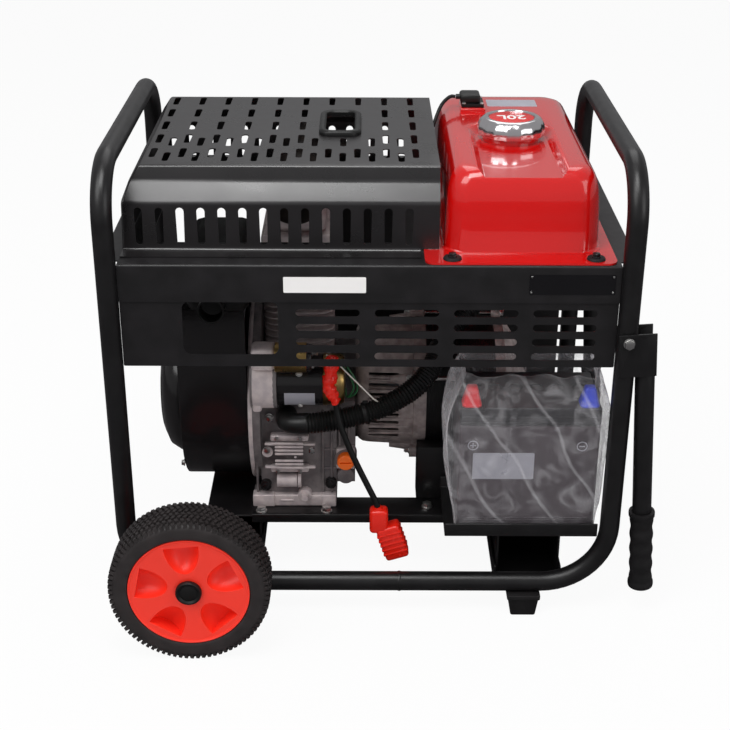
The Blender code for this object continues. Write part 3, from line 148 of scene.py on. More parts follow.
# Black paint would mirror a white floor as grey, so the floor is darker to reflections.
lit = add(tree, "ShaderNodeLightPath")
shade = add(tree, "ShaderNodeMix", {0: lit.outputs["Is Glossy Ray"], 6: linear("f2f2f2"),
                                    7: linear("5a585a")},
            data_type="RGBA")
tree.links.new(shade.outputs[2], matt.inputs["Base Color"])
amount, glow = studio_white(tree, FLOOR_WHITE, 0.94)
mix = add(tree, "ShaderNodeMixShader", {0: amount.outputs[0], 1: matt.outputs[0], 2: glow.outputs[0]})
tree.links.new(mix.outputs[0], tree.nodes["Material Output"].inputs["Surface"])
floor_mesh.materials.append(floor_paint)

world = bpy.data.worlds.new("studio")
world.use_nodes = True
bpy.context.scene.world = world
tree = world.node_tree
back = tree.nodes["Background"]
back.inputs["Color"].default_value = linear("f4f4f6")
back.inputs["Strength"].default_value = 0.38
rays = add(tree, "ShaderNodeLightPath")
white = add(tree, "ShaderNodeBackground", {"Color": FLOOR_WHITE, "Strength": 1.0})
mix = add(tree, "ShaderNodeMixShader", {0: rays.outputs["Is Camera Ray"], 1: back.outputs[0],
                                        2: white.outputs[0]})
tree.links.new(mix.outputs[0], tree.nodes["World Output"].inputs["Surface"])

for name, place, size, power in (("key", (-1.6, -1.7, 2.6), 1.8, 34), ("fill", (2.3, -1.8, 1.5), 1.6, 14),
                                 ("top", (-0.2, -0.95, 2.6), 1.1, 24),
                                 ("back", (0.2, 1.2, 2.4), 1.6, 12)):
    lamp = bpy.data.objects.new(f"{name} softbox", bpy.data.lights.new(f"{name} softbox", "AREA"))
    bpy.context.scene.collection.objects.link(lamp)
    lamp.location = place
    lamp.rotation_euler = (Vector((0, 0, 0.35)) - lamp.location).to_track_quat("-Z", "Y").to_euler()
    lamp.data.shape = "SQUARE"
    lamp.data.size = size
    lamp.data.energy = power
bpy.context.scene.view_settings.view_transform = "Standard"

# %% [markdown]
# ## Finishes
# Almost everything here is coated, moulded or cast, so one maker serves: a base colour, a gloss that
# varies a little from place to place, and a fine grain that breaks up the highlights. Grain and
# mottle are real sizes in millimetres. Grain under about a millimetre would not show from where the
# camera stands, so it is drawn at about one.


# %% A maker for grained finishes
def finish(name, colour, roughness, metallic=0.0, grain=1.0, depth=0.02, second=None, mottle=30.0,
           uneven=0.05, coat=0.0, specular=0.5):
    """A material with a grain and a mottle in millimetres, and a grain depth in millimetres."""
    material = bpy.data.materials.new(name)
    material.use_nodes = True
    tree = material.node_tree
    shader = tree.nodes["Principled BSDF"]
    shader.inputs["Base Color"].default_value = linear(colour)
    shader.inputs["Metallic"].default_value = metallic
    shader.inputs["Coat Weight"].default_value = coat
    shader.inputs["Specular IOR Level"].default_value = specular
    shader.inputs["Coat Roughness"].default_value = 0.03
    place = add(tree, "ShaderNodeTexCoord").outputs["Object"]
    clouds = add(tree, "ShaderNodeTexNoise", {"Vector": place, "Scale": 1000 / mottle, "Detail": 4.0})
    gloss = add(tree, "ShaderNodeMapRange", {"Value": clouds.outputs["Fac"], "From Min": 0.3, "From Max": 0.7,
                                             "To Min": roughness - uneven, "To Max": roughness + uneven})
    tree.links.new(gloss.outputs[0], shader.inputs["Roughness"])
    if second:
        patches = add(tree, "ShaderNodeMapRange", {"Value": clouds.outputs["Fac"], "From Min": 0.35,
                                                   "From Max": 0.65})
        blend = add(tree, "ShaderNodeMix", {0: patches.outputs[0], 6: linear(colour), 7: linear(second)},
                    data_type="RGBA")
        tree.links.new(blend.outputs[2], shader.inputs["Base Color"])
    fine = add(tree, "ShaderNodeTexNoise", {"Vector": place, "Scale": 1000 / grain, "Detail": 2.0})
    bump = add(tree, "ShaderNodeBump", {"Height": fine.outputs["Fac"], "Strength": 0.7,
                                        "Distance": depth / 1000})
    tree.links.new(bump.outputs[0], shader.inputs["Normal"])
    return material


# %% Coatings on steel
# Powder coat bakes to a skin like fine orange peel; the heat coat on the shield has a stronger shine.
POWDER_BLACK = finish("satin black powder coat", "121112", 0.34, grain=1.6, depth=0.03, second="161516",
                      specular=0.45)
DECK_BLACK = finish("black powder coat on sheet", "171617", 0.40, grain=1.4, depth=0.03, second="1c1a1c",
                    specular=0.45)
SHIELD_COAT = finish("grey heat resisting coat", "151314", 0.30, grain=1.3, depth=0.03, second="191618",
                     mottle=60, specular=1.0)
STOVED_BLACK = finish("gloss black stoved enamel", "191718", 0.20, grain=3.0, depth=0.01, uneven=0.03,
                      specular=0.5)
TANK_ENAMEL = finish("red tank enamel", "cf0806", 0.22, grain=5.0, depth=0.006, uneven=0.02, coat=1.0)
MUFFLER_COAT = finish("black stove coat with heat stain", "1b1918", 0.55, metallic=0.3, second="2e2520",
                      mottle=25, specular=0.3)
# %% Bare and plated metal
# Die castings keep a sandy skin; zinc plate is smooth and pale, and its chromate dip can leave it gold.
CAST_ALUMINIUM = finish("die cast aluminium", "d6cac8", 0.42, metallic=0.2, grain=1.5, depth=0.09,
                        second="c0b4b6", mottle=12)
SAND_CAST = finish("sand cast aluminium", "847d7d", 0.50, metallic=0.3, grain=1.6, depth=0.16,
                   second="6a6466", mottle=18)
PALE_CAST = finish("pale cast adapter", "b5a8a6", 0.50, metallic=0.25, grain=1.6, depth=0.14, second="8f8381",
                   mottle=14)
ZINC_PLATE = finish("bright zinc plate", "c9c8c6", 0.30, metallic=1.0, grain=1.0, depth=0.01)
YELLOW_ZINC = finish("yellow chromated zinc plate", "c4a465", 0.30, metallic=1.0, grain=1.0, depth=0.01,
                     second="b39660", mottle=9)
MACHINED_STEEL = finish("machined steel", "96969a", 0.34, metallic=1.0, grain=1.2, depth=0.02)
CHROME_PLATE = finish("chrome plate", "dad8da", 0.17, metallic=1.0, grain=4.0, depth=0.002, uneven=0.02)
BRASS = finish("turned brass", "b8923f", 0.28, metallic=1.0, grain=1.0, depth=0.01)
# %% Rubber and plastics
# Tyre rubber and grips are dusty and matt; the soft vinyl boots shine like wet skin.
TYRE_RUBBER = finish("tyre rubber", "2b2727", 0.50, grain=1.2, depth=0.05, second="332e2e", mottle=22,
                     specular=0.4)
GRIP_RUBBER = finish("moulded rubber", "161516", 0.55, grain=1.0, depth=0.05, second="1c1a1b", specular=0.3)
MOULDED_BLACK = finish("black moulded nylon", "131313", 0.42, grain=1.2, depth=0.04, specular=0.35)
WHEEL_PLASTIC = finish("red moulded polypropylene", "ff3420", 0.40, grain=1.4, depth=0.02, uneven=0.04)
CASE_PLASTIC = finish("grey battery case plastic", "453b41", 0.48, grain=1.2, depth=0.05, specular=0.4)
LID_PLASTIC = finish("black battery lid plastic", "1d1b1f", 0.42, grain=1.2, depth=0.04, specular=0.4)
RED_VINYL = finish("red dipped vinyl", "e3200f", 0.26, grain=4.0, depth=0.12, uneven=0.04)
CAP_RED = finish("red soft cap", "d51c26", 0.36, grain=3.0, depth=0.05)
CAP_BLUE = finish("blue soft cap", "2340cf", 0.36, grain=3.0, depth=0.05)
ORANGE_NYLON = finish("orange moulded nylon", "f66a0c", 0.36, grain=1.5, depth=0.02)
CABLE_JACKET = finish("black cable jacket", "121212", 0.45, grain=1.5, depth=0.04, specular=0.3)
CONDUIT_PLASTIC = finish("black split conduit", "141414", 0.38, grain=1.2, depth=0.03, specular=0.45)
BUFF_JACKET = finish("white wire jacket", "d9d4cc", 0.45)
# %% Stickers and plates
# Each is bare: a printed film or a thin plate in one plain colour.
STICKER_WHITE = finish("white vinyl sticker", "f3f1ef", 0.35, grain=2.0, depth=0.01)
STICKER_SILVER = finish("silver foil sticker", "c4c3cd", 0.32, metallic=0.5, grain=2.0, depth=0.01)
PLATE_BLACK = finish("black anodised plate", "19181b", 0.34, metallic=0.4, grain=1.0, depth=0.01,
                     specular=0.4)
PRINT_RED = finish("red printed disc", "d01a17", 0.30, grain=3.0, depth=0.01)
PRINT_WHITE = finish("white print", "f2f0ee", 0.40, grain=2.0, depth=0.01)
print("finishes:", len(bpy.data.materials))

# %% [markdown]
# ## Tools for making pieces
# A piece starts as a bmesh and is shaped by operators: a circle dragged along straights and bends is
# a tube, a profile spun about an axis is a turned part, and a cube with bevelled edges is a block.
# When it is done, it is moved into the machine's frame and handed to the body that it rides on.


# %% Handing a piece over
def hand_over(name, bm, material, body="machine", replaces=(), smooth=38.0, merge=0.00001):
    """Turn a bmesh into a finished object: closed, facing out, smooth shaded and riding on a body."""
    bmesh.ops.remove_doubles(bm, verts=bm.verts, dist=merge)
    bmesh.ops.recalc_face_normals(bm, faces=bm.faces)
    bmesh.ops.translate(bm, vec=(X0, 0, 0), verts=bm.verts)
    mesh = bpy.data.meshes.new(name)
    bm.to_mesh(mesh)
    bm.free()
    return hand_over_mesh(name, mesh, material, body, replaces, smooth)


def hand_over_mesh(name, mesh, material, body="machine", replaces=(), smooth=38.0):
    obj = bpy.data.objects.new(name, mesh)
    bpy.context.scene.collection.objects.link(obj)
    mesh.materials.clear()
    for each in material if isinstance(material, (list, tuple)) else [material]:
        mesh.materials.append(each)
    mesh.shade_smooth()
    mesh.set_sharp_from_angle(angle=math.radians(smooth))
    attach(obj, body)
    if replaces:
        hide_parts(*replaces)
    return obj


# %% Turning a new shape into place
def turn_to(bm, verts, place, axis, roll=0.0):
    """Point a shape's own Z along an axis, after a roll about it, and carry it to its place."""
    facing = Vector(axis).to_track_quat("Z", "Y").to_matrix().to_4x4()
    spin = Matrix.Rotation(math.radians(roll), 4, "Z")
    bmesh.ops.transform(bm, matrix=Matrix.Translation(place) @ facing @ spin, verts=verts)


# %% Blocks, discs and turned parts
def block(bm, low, high, radius=0.0, segments=3):
    """A box between two corners with rounded edges."""
    low, high = Vector(low), Vector(high)
    verts = bmesh.ops.create_cube(bm, size=1.0)["verts"]
    bmesh.ops.scale(bm, vec=high - low, verts=verts)
    bmesh.ops.translate(bm, vec=(low + high) / 2, verts=verts)
    if radius:
        edges = list({edge for vert in verts for edge in vert.link_edges})
        made = bmesh.ops.bevel(bm, geom=edges, offset=radius, offset_type="OFFSET", segments=segments,
                               profile=0.5, affect="EDGES", material=-1, clamp_overlap=True)
        verts = list({vert for face in made["faces"] for vert in face.verts})
    return verts


def disc(bm, start, end, radius, end_radius=None, sides=32, edge=0.0):
    """A cylinder or cone between two points, with a rounded rim at its end."""
    start, end = Vector(start), Vector(end)
    verts = bmesh.ops.create_cone(bm, cap_ends=True, segments=sides, radius1=radius,
                                  depth=(end - start).length,
                                  radius2=radius if end_radius is None else end_radius)["verts"]
    if edge:
        rim = [e for e in {e for v in verts for e in v.link_edges} if min(v.co.z for v in e.verts) > 0]
        made = bmesh.ops.bevel(bm, geom=rim, offset=edge, offset_type="OFFSET", segments=2, profile=0.5,
                               affect="EDGES", material=-1, clamp_overlap=True)
        verts = [v for v in verts if v.is_valid] + [v for v in made["verts"]]
    verts = list(set(verts))
    turn_to(bm, verts, (start + end) / 2, end - start)
    return verts


def turned(bm, profile, place, axis, steps=48):
    """Spin a profile of (radius, height) points about an axis."""
    verts = [bm.verts.new((radius, 0, height)) for radius, height in profile]
    edges = [bm.edges.new(pair) for pair in zip(verts, verts[1:])]
    if profile[0][0] > 0:
        edges.append(bm.edges.new((verts[-1], verts[0])))
    before = set(bm.verts) - set(verts)
    bmesh.ops.spin(bm, geom=verts + edges, cent=(0, 0, 0), axis=(0, 0, 1), angle=2 * math.pi, steps=steps,
                   use_merge=True)
    made = [vert for vert in bm.verts if vert not in before]
    turn_to(bm, made, place, axis)
    return made


# %% Dragging a circle into a bent tube
def swept_tube(bm, start, heading, radius, route, sides=28, closed=True):
    """Drag a circle along a route of ("go", length) and ("turn", bend radius, degrees, towards)."""
    place, heading = Vector(start), Vector(heading).normalized()
    ring = bmesh.ops.create_circle(bm, cap_ends=False, segments=sides, radius=radius)["verts"]
    turn_to(bm, ring, place, heading)
    edges = first = list({edge for vert in ring for edge in vert.link_edges})
    for step in route:
        if step[0] == "go":
            made = bmesh.ops.extrude_edge_only(bm, edges=edges)["geom"]
            ring = {part for part in made if isinstance(part, bmesh.types.BMVert)}
            edges = [part for part in made
                     if isinstance(part, bmesh.types.BMEdge) and set(part.verts) <= ring]
            bmesh.ops.translate(bm, vec=heading * step[1], verts=list(ring))
            place = place + heading * step[1]
            continue
        bend, degrees, towards = step[1], step[2], Vector(step[3]).normalized()
        axis = heading.cross(towards)
        last = bmesh.ops.spin(bm, geom=edges, cent=place + towards * bend, axis=axis, dvec=(0, 0, 0),
                              angle=math.radians(degrees), steps=max(4, round(degrees / 7)))["geom_last"]
        edges = [part for part in last if isinstance(part, bmesh.types.BMEdge)]
        swing = Matrix.Rotation(math.radians(degrees), 3, axis)
        place = place + towards * bend + swing @ (-towards * bend)
        heading = swing @ heading
    if closed:
        bmesh.ops.edgeloop_fill(bm, edges=first)
        bmesh.ops.edgeloop_fill(bm, edges=edges)
    return place, heading


# %% Bolts and nuts
def bolt(bm, place, axis, size=0.006, washer=True, height=0.65):
    """A hexagon head on its washer. Size is the thread's diameter."""
    place, axis = Vector(place), Vector(axis).normalized()
    if washer:
        disc(bm, place, place + axis * size * 0.25, size * 1.05, sides=24, edge=size * 0.06)
        place = place + axis * size * 0.25
    disc(bm, place, place + axis * size * height, size * 0.92, sides=6, edge=size * 0.10)


# %% Softening a node that keeps its shape
def refined(node, material, bevel=0.0008, sharp=32.0, smooth=40.0, segments=2, name=None):
    """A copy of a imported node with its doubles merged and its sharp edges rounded."""
    source = frame["nodes"][node]
    bm = bmesh.new()
    bm.from_mesh(source.data)
    bmesh.ops.remove_doubles(bm, verts=bm.verts, dist=0.00002)
    bmesh.ops.dissolve_limit(bm, angle_limit=math.radians(0.8), verts=bm.verts, edges=bm.edges,
                             use_dissolve_boundaries=False, delimit=set())
    edges = [e for e in bm.edges if e.is_manifold and e.calc_face_angle(0) > math.radians(sharp)]
    if bevel and edges:
        bmesh.ops.bevel(bm, geom=edges, offset=bevel, offset_type="OFFSET", segments=segments, profile=0.5,
                        affect="EDGES", material=-1, clamp_overlap=True)
    mesh = bpy.data.meshes.new(name or f"{node}_finished")
    bm.to_mesh(mesh)
    bm.free()
    return hand_over_mesh(name or f"{node}_finished", mesh, material, source["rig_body"], (node,), smooth)


# %% Cutting one shape with another
def carve(bm, cutter_bm, operation="DIFFERENCE"):
    """Cut a closed bmesh with another closed bmesh, and give back a new bmesh."""
    pair = []
    for label, each in (("solid", bm), ("cutter", cutter_bm)):
        bmesh.ops.remove_doubles(each, verts=each.verts, dist=0.00001)
        bmesh.ops.recalc_face_normals(each, faces=each.faces)
        mesh = bpy.data.meshes.new(label)
        each.to_mesh(mesh)
        each.free()
        pair.append(bpy.data.objects.new(label, mesh))
        bpy.context.scene.collection.objects.link(pair[-1])
    change = pair[0].modifiers.new("carve", "BOOLEAN")
    change.operation, change.solver, change.object = operation, "EXACT", pair[1]
    done = bpy.data.meshes.new_from_object(pair[0].evaluated_get(bpy.context.evaluated_depsgraph_get()))
    result = bmesh.new()
    result.from_mesh(done)
    for obj in pair:
        bpy.data.meshes.remove(obj.data)
    bpy.data.meshes.remove(done)
    return result


def stadium(bm, middle, length, width, depth, along="X", through="Z", sides=12):
    """A slot cutter: a circle pulled out into a stadium and extruded through the sheet."""
    ring = bmesh.ops.create_circle(bm, cap_ends=True, segments=2 * sides, radius=width / 2)["verts"]
    for vert in ring:
        vert.co.x += math.copysign((length - width) / 2, vert.co.x)
    face = ring[0].link_faces[0]
    made = bmesh.ops.extrude_face_region(bm, geom=[face])["geom"]
    top = [part for part in made if isinstance(part, bmesh.types.BMVert)]
    bmesh.ops.translate(bm, vec=(0, 0, depth), verts=top)
    verts = ring + top
    bmesh.ops.translate(bm, vec=(0, 0, -depth / 2), verts=verts)
    turns = {("X", "Z"): Matrix(), ("Y", "Z"): Matrix.Rotation(math.pi / 2, 4, "Z"),
             ("X", "Y"): Matrix.Rotation(math.pi / 2, 4, "X"),
             ("Z", "Y"): Matrix.Rotation(math.pi / 2, 4, "X") @ Matrix.Rotation(math.pi / 2, 4, "Z"),
             ("Y", "X"): Matrix.Rotation(math.pi / 2, 4, "Z") @ Matrix.Rotation(math.pi / 2, 4, "X")}
    bmesh.ops.transform(bm, matrix=Matrix.Translation(middle) @ turns[along, through], verts=verts)


# %% [markdown]
# ## Battery lead
# The positive lead waits loose at the battery side. It comes out of the red boot on the starter,
# hangs at a slant under its own weight, and ends in a moulded red clamp cover. It is one short, stiff
# cable, so a circle swept along its route is enough.

# %% Free battery lead
LEAD_RADIUS = 0.0045
LEAD_ROUTE = [(-0.0461, -0.1783, 0.3012), (-0.0450, -0.1800, 0.2900), (-0.0400, -0.1850, 0.2700),
              (-0.0330, -0.1880, 0.2500), (-0.0170, -0.1930, 0.2120), (0.0, -0.1975, 0.1760),
              (0.0095, -0.1995, 0.1560), (0.0140, -0.2000, 0.1440)]


def smooth_route(places, steps):
    """Points on a smooth curve through the places of a cable's route."""
    places = [Vector(place) for place in places]
    padded = [2 * places[0] - places[1], *places, 2 * places[-1] - places[-2]]
    points = [places[0]]
    for a, b, c, d in zip(padded, padded[1:], padded[2:], padded[3:]):
        for step in range(1, steps + 1):
            t = step / steps
            points.append(0.5 * (2 * b + (c - a) * t + (2 * a - 5 * b + 4 * c - d) * t ** 2
                                 + (3 * b - a - 3 * c + d) * t ** 3))
    return points


def route_length(points):
    return sum((b - a).length for a, b in zip(points, points[1:]))


def swept_route(bm, points, radii, sides=16):
    """Drag a circle along a free route; radii gives one radius for all points, or one for each."""
    radii = radii if isinstance(radii, (list, tuple)) else [radii] * len(points)
    heading = (points[1] - points[0]).normalized()
    ring = bmesh.ops.create_circle(bm, cap_ends=False, segments=sides, radius=1.0)["verts"]
    shape = [vert.co.copy() for vert in ring]
    pose = heading.to_track_quat("Z", "Y")
    edges = first = list({edge for vert in ring for edge in vert.link_edges})
    order = {vert: spot for vert, spot in zip(ring, shape)}
    for number, point in enumerate(points):
        if number:
            made = bmesh.ops.extrude_edge_only(bm, edges=edges)["geom"]
            fresh = [part for part in made if isinstance(part, bmesh.types.BMVert)]
            grown = {}
            for vert in fresh:
                old = next(e.other_vert(vert) for e in vert.link_edges if e.other_vert(vert) in order)
                grown[vert] = order[old]
            edges = [part for part in made
                     if isinstance(part, bmesh.types.BMEdge) and set(part.verts) <= set(fresh)]
            order = grown
        after = points[min(number + 1, len(points) - 1)] - points[max(number - 1, 0)]
        pose = heading.rotation_difference(after.normalized()) @ pose
        heading = after.normalized()
        for vert, spot in order.items():
            vert.co = point + pose @ (spot * radii[number])
    bmesh.ops.edgeloop_fill(bm, edges=first)
    bmesh.ops.edgeloop_fill(bm, edges=edges)


lead_points = smooth_route(LEAD_ROUTE, 3)
bm = bmesh.new()
swept_route(bm, lead_points, LEAD_RADIUS, sides=14)
lead = hand_over("battery_lead_cable", bm, CABLE_JACKET, replaces=("battery_lead",))
bm = bmesh.new()
CLAMP = Vector((0.0150, -0.2002, 0.1418))
body = block(bm, (-0.0125, -0.0115, -0.0390), (0.0145, 0.0115, -0.0004), radius=0.006, segments=4)
jaw = block(bm, (-0.0140, -0.0125, -0.0870), (0.0210, 0.0125, -0.0310), radius=0.005, segments=4)
bmesh.ops.transform(bm, matrix=Matrix.Rotation(math.radians(-18), 4, "Y"), verts=jaw)
for z in (-0.044, -0.052, -0.060, -0.068, -0.076):
    rib = block(bm, (-0.0150, -0.0132, z), (0.0218, 0.0132, z + 0.0035), radius=0.0012, segments=2)
    bmesh.ops.transform(bm, matrix=Matrix.Rotation(math.radians(-18), 4, "Y"), verts=rib)
bmesh.ops.translate(bm, vec=CLAMP, verts=bm.verts)
disc(bm, CLAMP + Vector((0, 0, -0.010)), CLAMP + Vector((-0.0010, 0, 0.0020)), 0.0085, 0.0064, sides=20)
clamp = hand_over("lead_clamp_cover", bm, RED_VINYL, replaces=("lead_clamp",))

# %% [markdown]
# ## Tube frame
# The cradle is two hoops of 28 mm steel tube, one at each end, bent at four corners and welded
# together low down on both sides. A circle is dragged straight and then spun round each bend, which
# keeps the tube's section round and its bends at their real radii.

# %% Two side hoops
TOP_BEND, BOTTOM_BEND, SEAM_X = 0.072, 0.095, 0.046
for side, label in ((-1, "left"), (1, "right")):
    run = HALF_L - side * SEAM_X - BOTTOM_BEND - GAP / 2
    rise = TOP_BAR_Z - BOTTOM_Z - BOTTOM_BEND - TOP_BEND
    bm = bmesh.new()
    end, heading = swept_tube(bm, (SEAM_X + side * GAP / 2, -HALF_D, BOTTOM_Z), (side, 0, 0), TUBE_R,
                              [("go", run), ("turn", BOTTOM_BEND, 90, (0, 0, 1)), ("go", rise),
                               ("turn", TOP_BEND, 90, (0, 1, 0)), ("go", 2 * (HALF_D - TOP_BEND)),
                               ("turn", TOP_BEND, 90, (0, 0, -1)), ("go", rise),
                               ("turn", BOTTOM_BEND, 90, (-side, 0, 0)), ("go", run)], sides=32)
    print(label, "hoop ends at", [round(value, 4) for value in end])
    hand_over(f"{label}_hoop_tube", bm, POWDER_BLACK, replaces=(f"frame_{label}_hoop",))
bm = bmesh.new()
for y in (-HALF_D, HALF_D):
    made = turned(bm, [(TUBE_R - 0.001, -0.0026), (TUBE_R + 0.0002, -0.0024), (TUBE_R + 0.0009, 0.0),
                       (TUBE_R + 0.0002, 0.0024), (TUBE_R - 0.001, 0.0026)], (SEAM_X, y, BOTTOM_Z), (1, 0, 0))
hand_over("hoop_weld_beads", bm, POWDER_BLACK)

# %% [markdown]
# ## Wheels
# Each wheel is a solid rubber tyre on a red moulded rim that turns on a stub axle. The tyre body is a
# turned ring. Its tread is rows of small blocks: one block of each row is made and spun round as
# copies, and neighbouring rows are set half a pitch apart and slanted opposite ways.

# %% Tyres
WHEEL_X, WHEEL_Y, WHEEL_R = -0.2436, 0.344, 0.111
TYRE_SIDE = [(0.0835, 0.0255), (0.0842, 0.0282), (0.0862, 0.0294), (0.0890, 0.0298), (0.0935, 0.0300),
             (0.0980, 0.0298), (0.1022, 0.0292), (0.1048, 0.0272), (0.1066, 0.0232), (0.1076, 0.0150),
             (0.1079, 0.0050)]
# Each row: lateral middle, lateral width, inner and outer radius, blocks, width of one, slant in
# degrees, shift in pitches.
TREAD_ROWS = [(0.0258, 0.0064, 0.1030, 0.1092, 84, 0.0054, 12, 0.0),
              (0.0186, 0.0072, 0.1050, 0.1108, 84, 0.0054, 22, 0.5),
              (0.0104, 0.0070, 0.1055, 0.1110, 84, 0.0052, -22, 0.1),
              (0.0025, 0.0068, 0.1055, 0.1110, 84, 0.0052, 22, 0.6),
              (-0.0055, 0.0068, 0.1055, 0.1110, 84, 0.0052, -22, 0.1),
              (-0.0134, 0.0070, 0.1055, 0.1110, 84, 0.0052, 22, 0.6),
              (-0.0206, 0.0060, 0.1050, 0.1106, 84, 0.0054, -22, 0.0),
              (-0.0262, 0.0060, 0.1030, 0.1092, 84, 0.0054, -12, 0.5)]
for label, sign in (("front", -1), ("rear", 1)):
    bm = bmesh.new()
    outline = TYRE_SIDE + [(radius, -side) for radius, side in reversed(TYRE_SIDE)]
    turned(bm, outline, (0, 0, 0), (0, 0, 1), steps=96)
    for middle, wide, low, high, count, thick, slant, shift in TREAD_ROWS:
        lug = block(bm, (low, -thick / 2, -wide / 2), (high, thick / 2, wide / 2))
        top = [vert for vert in lug if vert.co.x > (low + high) / 2]
        bmesh.ops.scale(bm, vec=(1, 0.82, 0.90), verts=top)
        bmesh.ops.rotate(bm, cent=(0, 0, 0), matrix=Matrix.Rotation(math.radians(slant), 3, "X"), verts=lug)
        bmesh.ops.translate(bm, vec=(0, 0, middle), verts=lug)
        bmesh.ops.rotate(bm, cent=(0, 0, 0), matrix=Matrix.Rotation(2 * math.pi * shift / count, 3, "Z"),
                         verts=lug)
        shape = lug + list({part for vert in lug for part in (*vert.link_edges, *vert.link_faces)})
        bmesh.ops.spin(bm, geom=shape, cent=(0, 0, 0), axis=(0, 0, 1), dvec=(0, 0, 0), steps=count - 1,
                       angle=2 * math.pi * (count - 1) / count, use_duplicate=True)
    turn_to(bm, bm.verts, (WHEEL_X, sign * WHEEL_Y, WHEEL_R), (0, sign, 0))
    tyre = hand_over(f"tyre_{label}_treaded", bm, TYRE_RUBBER, body=f"wheel_{label}",
                     replaces=(f"tyre_{label}",), merge=0.000001)
print("tyre:", len(tyre.data.polygons), "faces")

# %% [markdown]
# The rim is a turned disc with five scoops. A scoop is cut by half an ellipsoid whose flat side faces
# the tyre, so its outer wall is steep and straight and its floor curves up towards the hub.

# %% Rims and hub caps
RIM_FACE = 0.0262
RIM_OUTLINE = [(0.0103, 0.0258), (0.0185, 0.0258), (0.0215, RIM_FACE), (0.0780, RIM_FACE), (0.0800, 0.0268),
               (0.0815, 0.0282), (0.0828, 0.0282), (0.0832, 0.0270), (0.0832, -0.0260), (0.0785, -0.0260),
               (0.0785, -0.0010), (0.0220, -0.0010), (0.0220, -0.0260), (0.0103, -0.0260)]
for label, sign in (("front", -1), ("rear", 1)):
    bm = bmesh.new()
    turned(bm, RIM_OUTLINE, (0, 0, 0), (0, 0, 1), steps=96)
    scoops = bmesh.new()
    bmesh.ops.create_uvsphere(scoops, u_segments=40, v_segments=24, radius=1.0)
    bmesh.ops.scale(scoops, vec=(0.0240, 0.0420, 0.0235), verts=scoops.verts)
    flat = bmesh.ops.bisect_plane(scoops, geom=scoops.verts[:] + scoops.edges[:] + scoops.faces[:],
                                  plane_co=(0, 0, 0),
                                  plane_no=(0, 1, 0), clear_outer=True)["geom_cut"]
    bmesh.ops.edgeloop_fill(scoops, edges=[part for part in flat if isinstance(part, bmesh.types.BMEdge)])
    bmesh.ops.translate(scoops, vec=(0, 0.0712, RIM_FACE + 0.0004), verts=scoops.verts)
    bmesh.ops.rotate(scoops, cent=(0, 0, 0), matrix=Matrix.Rotation(sign * math.radians(-6), 3, "Z"),
                     verts=scoops.verts)
    bmesh.ops.spin(scoops, geom=scoops.verts[:] + scoops.edges[:] + scoops.faces[:], cent=(0, 0, 0),
                   axis=(0, 0, 1),
                   dvec=(0, 0, 0), angle=math.radians(288), steps=4, use_duplicate=True)
    bm = carve(bm, scoops)
    lips = [e for e in bm.edges if e.is_manifold and e.calc_face_angle(0) > math.radians(28)
            and all(abs(v.co.z - RIM_FACE) < 0.0001 and 0.03 < math.hypot(v.co.x, v.co.y) < 0.0765
                    for v in e.verts)]
    bmesh.ops.bevel(bm, geom=lips, offset=0.0011, offset_type="OFFSET", segments=3, profile=0.5,
                    affect="EDGES",
                    material=-1, clamp_overlap=True)
    turn_to(bm, bm.verts, (WHEEL_X, sign * WHEEL_Y, WHEEL_R), (0, sign, 0))
    hand_over(f"rim_{label}_scooped", bm, WHEEL_PLASTIC, body=f"wheel_{label}",
              replaces=(f"wheel_rim_{label}",),
              smooth=34)
    bm = bmesh.new()
    turned(bm, [(0.0, 0.3752), (0.0095, 0.3752), (0.0108, 0.3744), (0.0125, 0.3740), (0.0138, 0.3752),
                (0.0150, 0.3762),
                (0.0168, 0.3762), (0.0178, 0.3750), (0.0180, 0.3706), (0.0098, 0.3706), (0.0098, 0.3178),
                (0.0160, 0.3178), (0.0160, 0.2478), (0.0098, 0.2478), (0.0098, 0.2430), (0.0165, 0.2430),
                (0.0165, 0.2345), (0.0, 0.2345)], (WHEEL_X, 0, WHEEL_R), (0, sign, 0), steps=40)
    hand_over(f"stub_axle_{label}_turned", bm, MOULDED_BLACK, replaces=(f"stub_axle_{label}",))
print("rim lips rounded:", len(lips))

# %% [markdown]
# ## Fuel tank
# The tank is two deep-drawn red halves joined at a flange that rests on the deck. A flat face with
# rounded corners is extruded upwards level by level, and each level is fitted to its own rectangle,
# which gives the draft of the walls and the soft shoulder. The filler channel is cut out of the top
# by a shape with sloping, rounded walls, as the press would leave it.


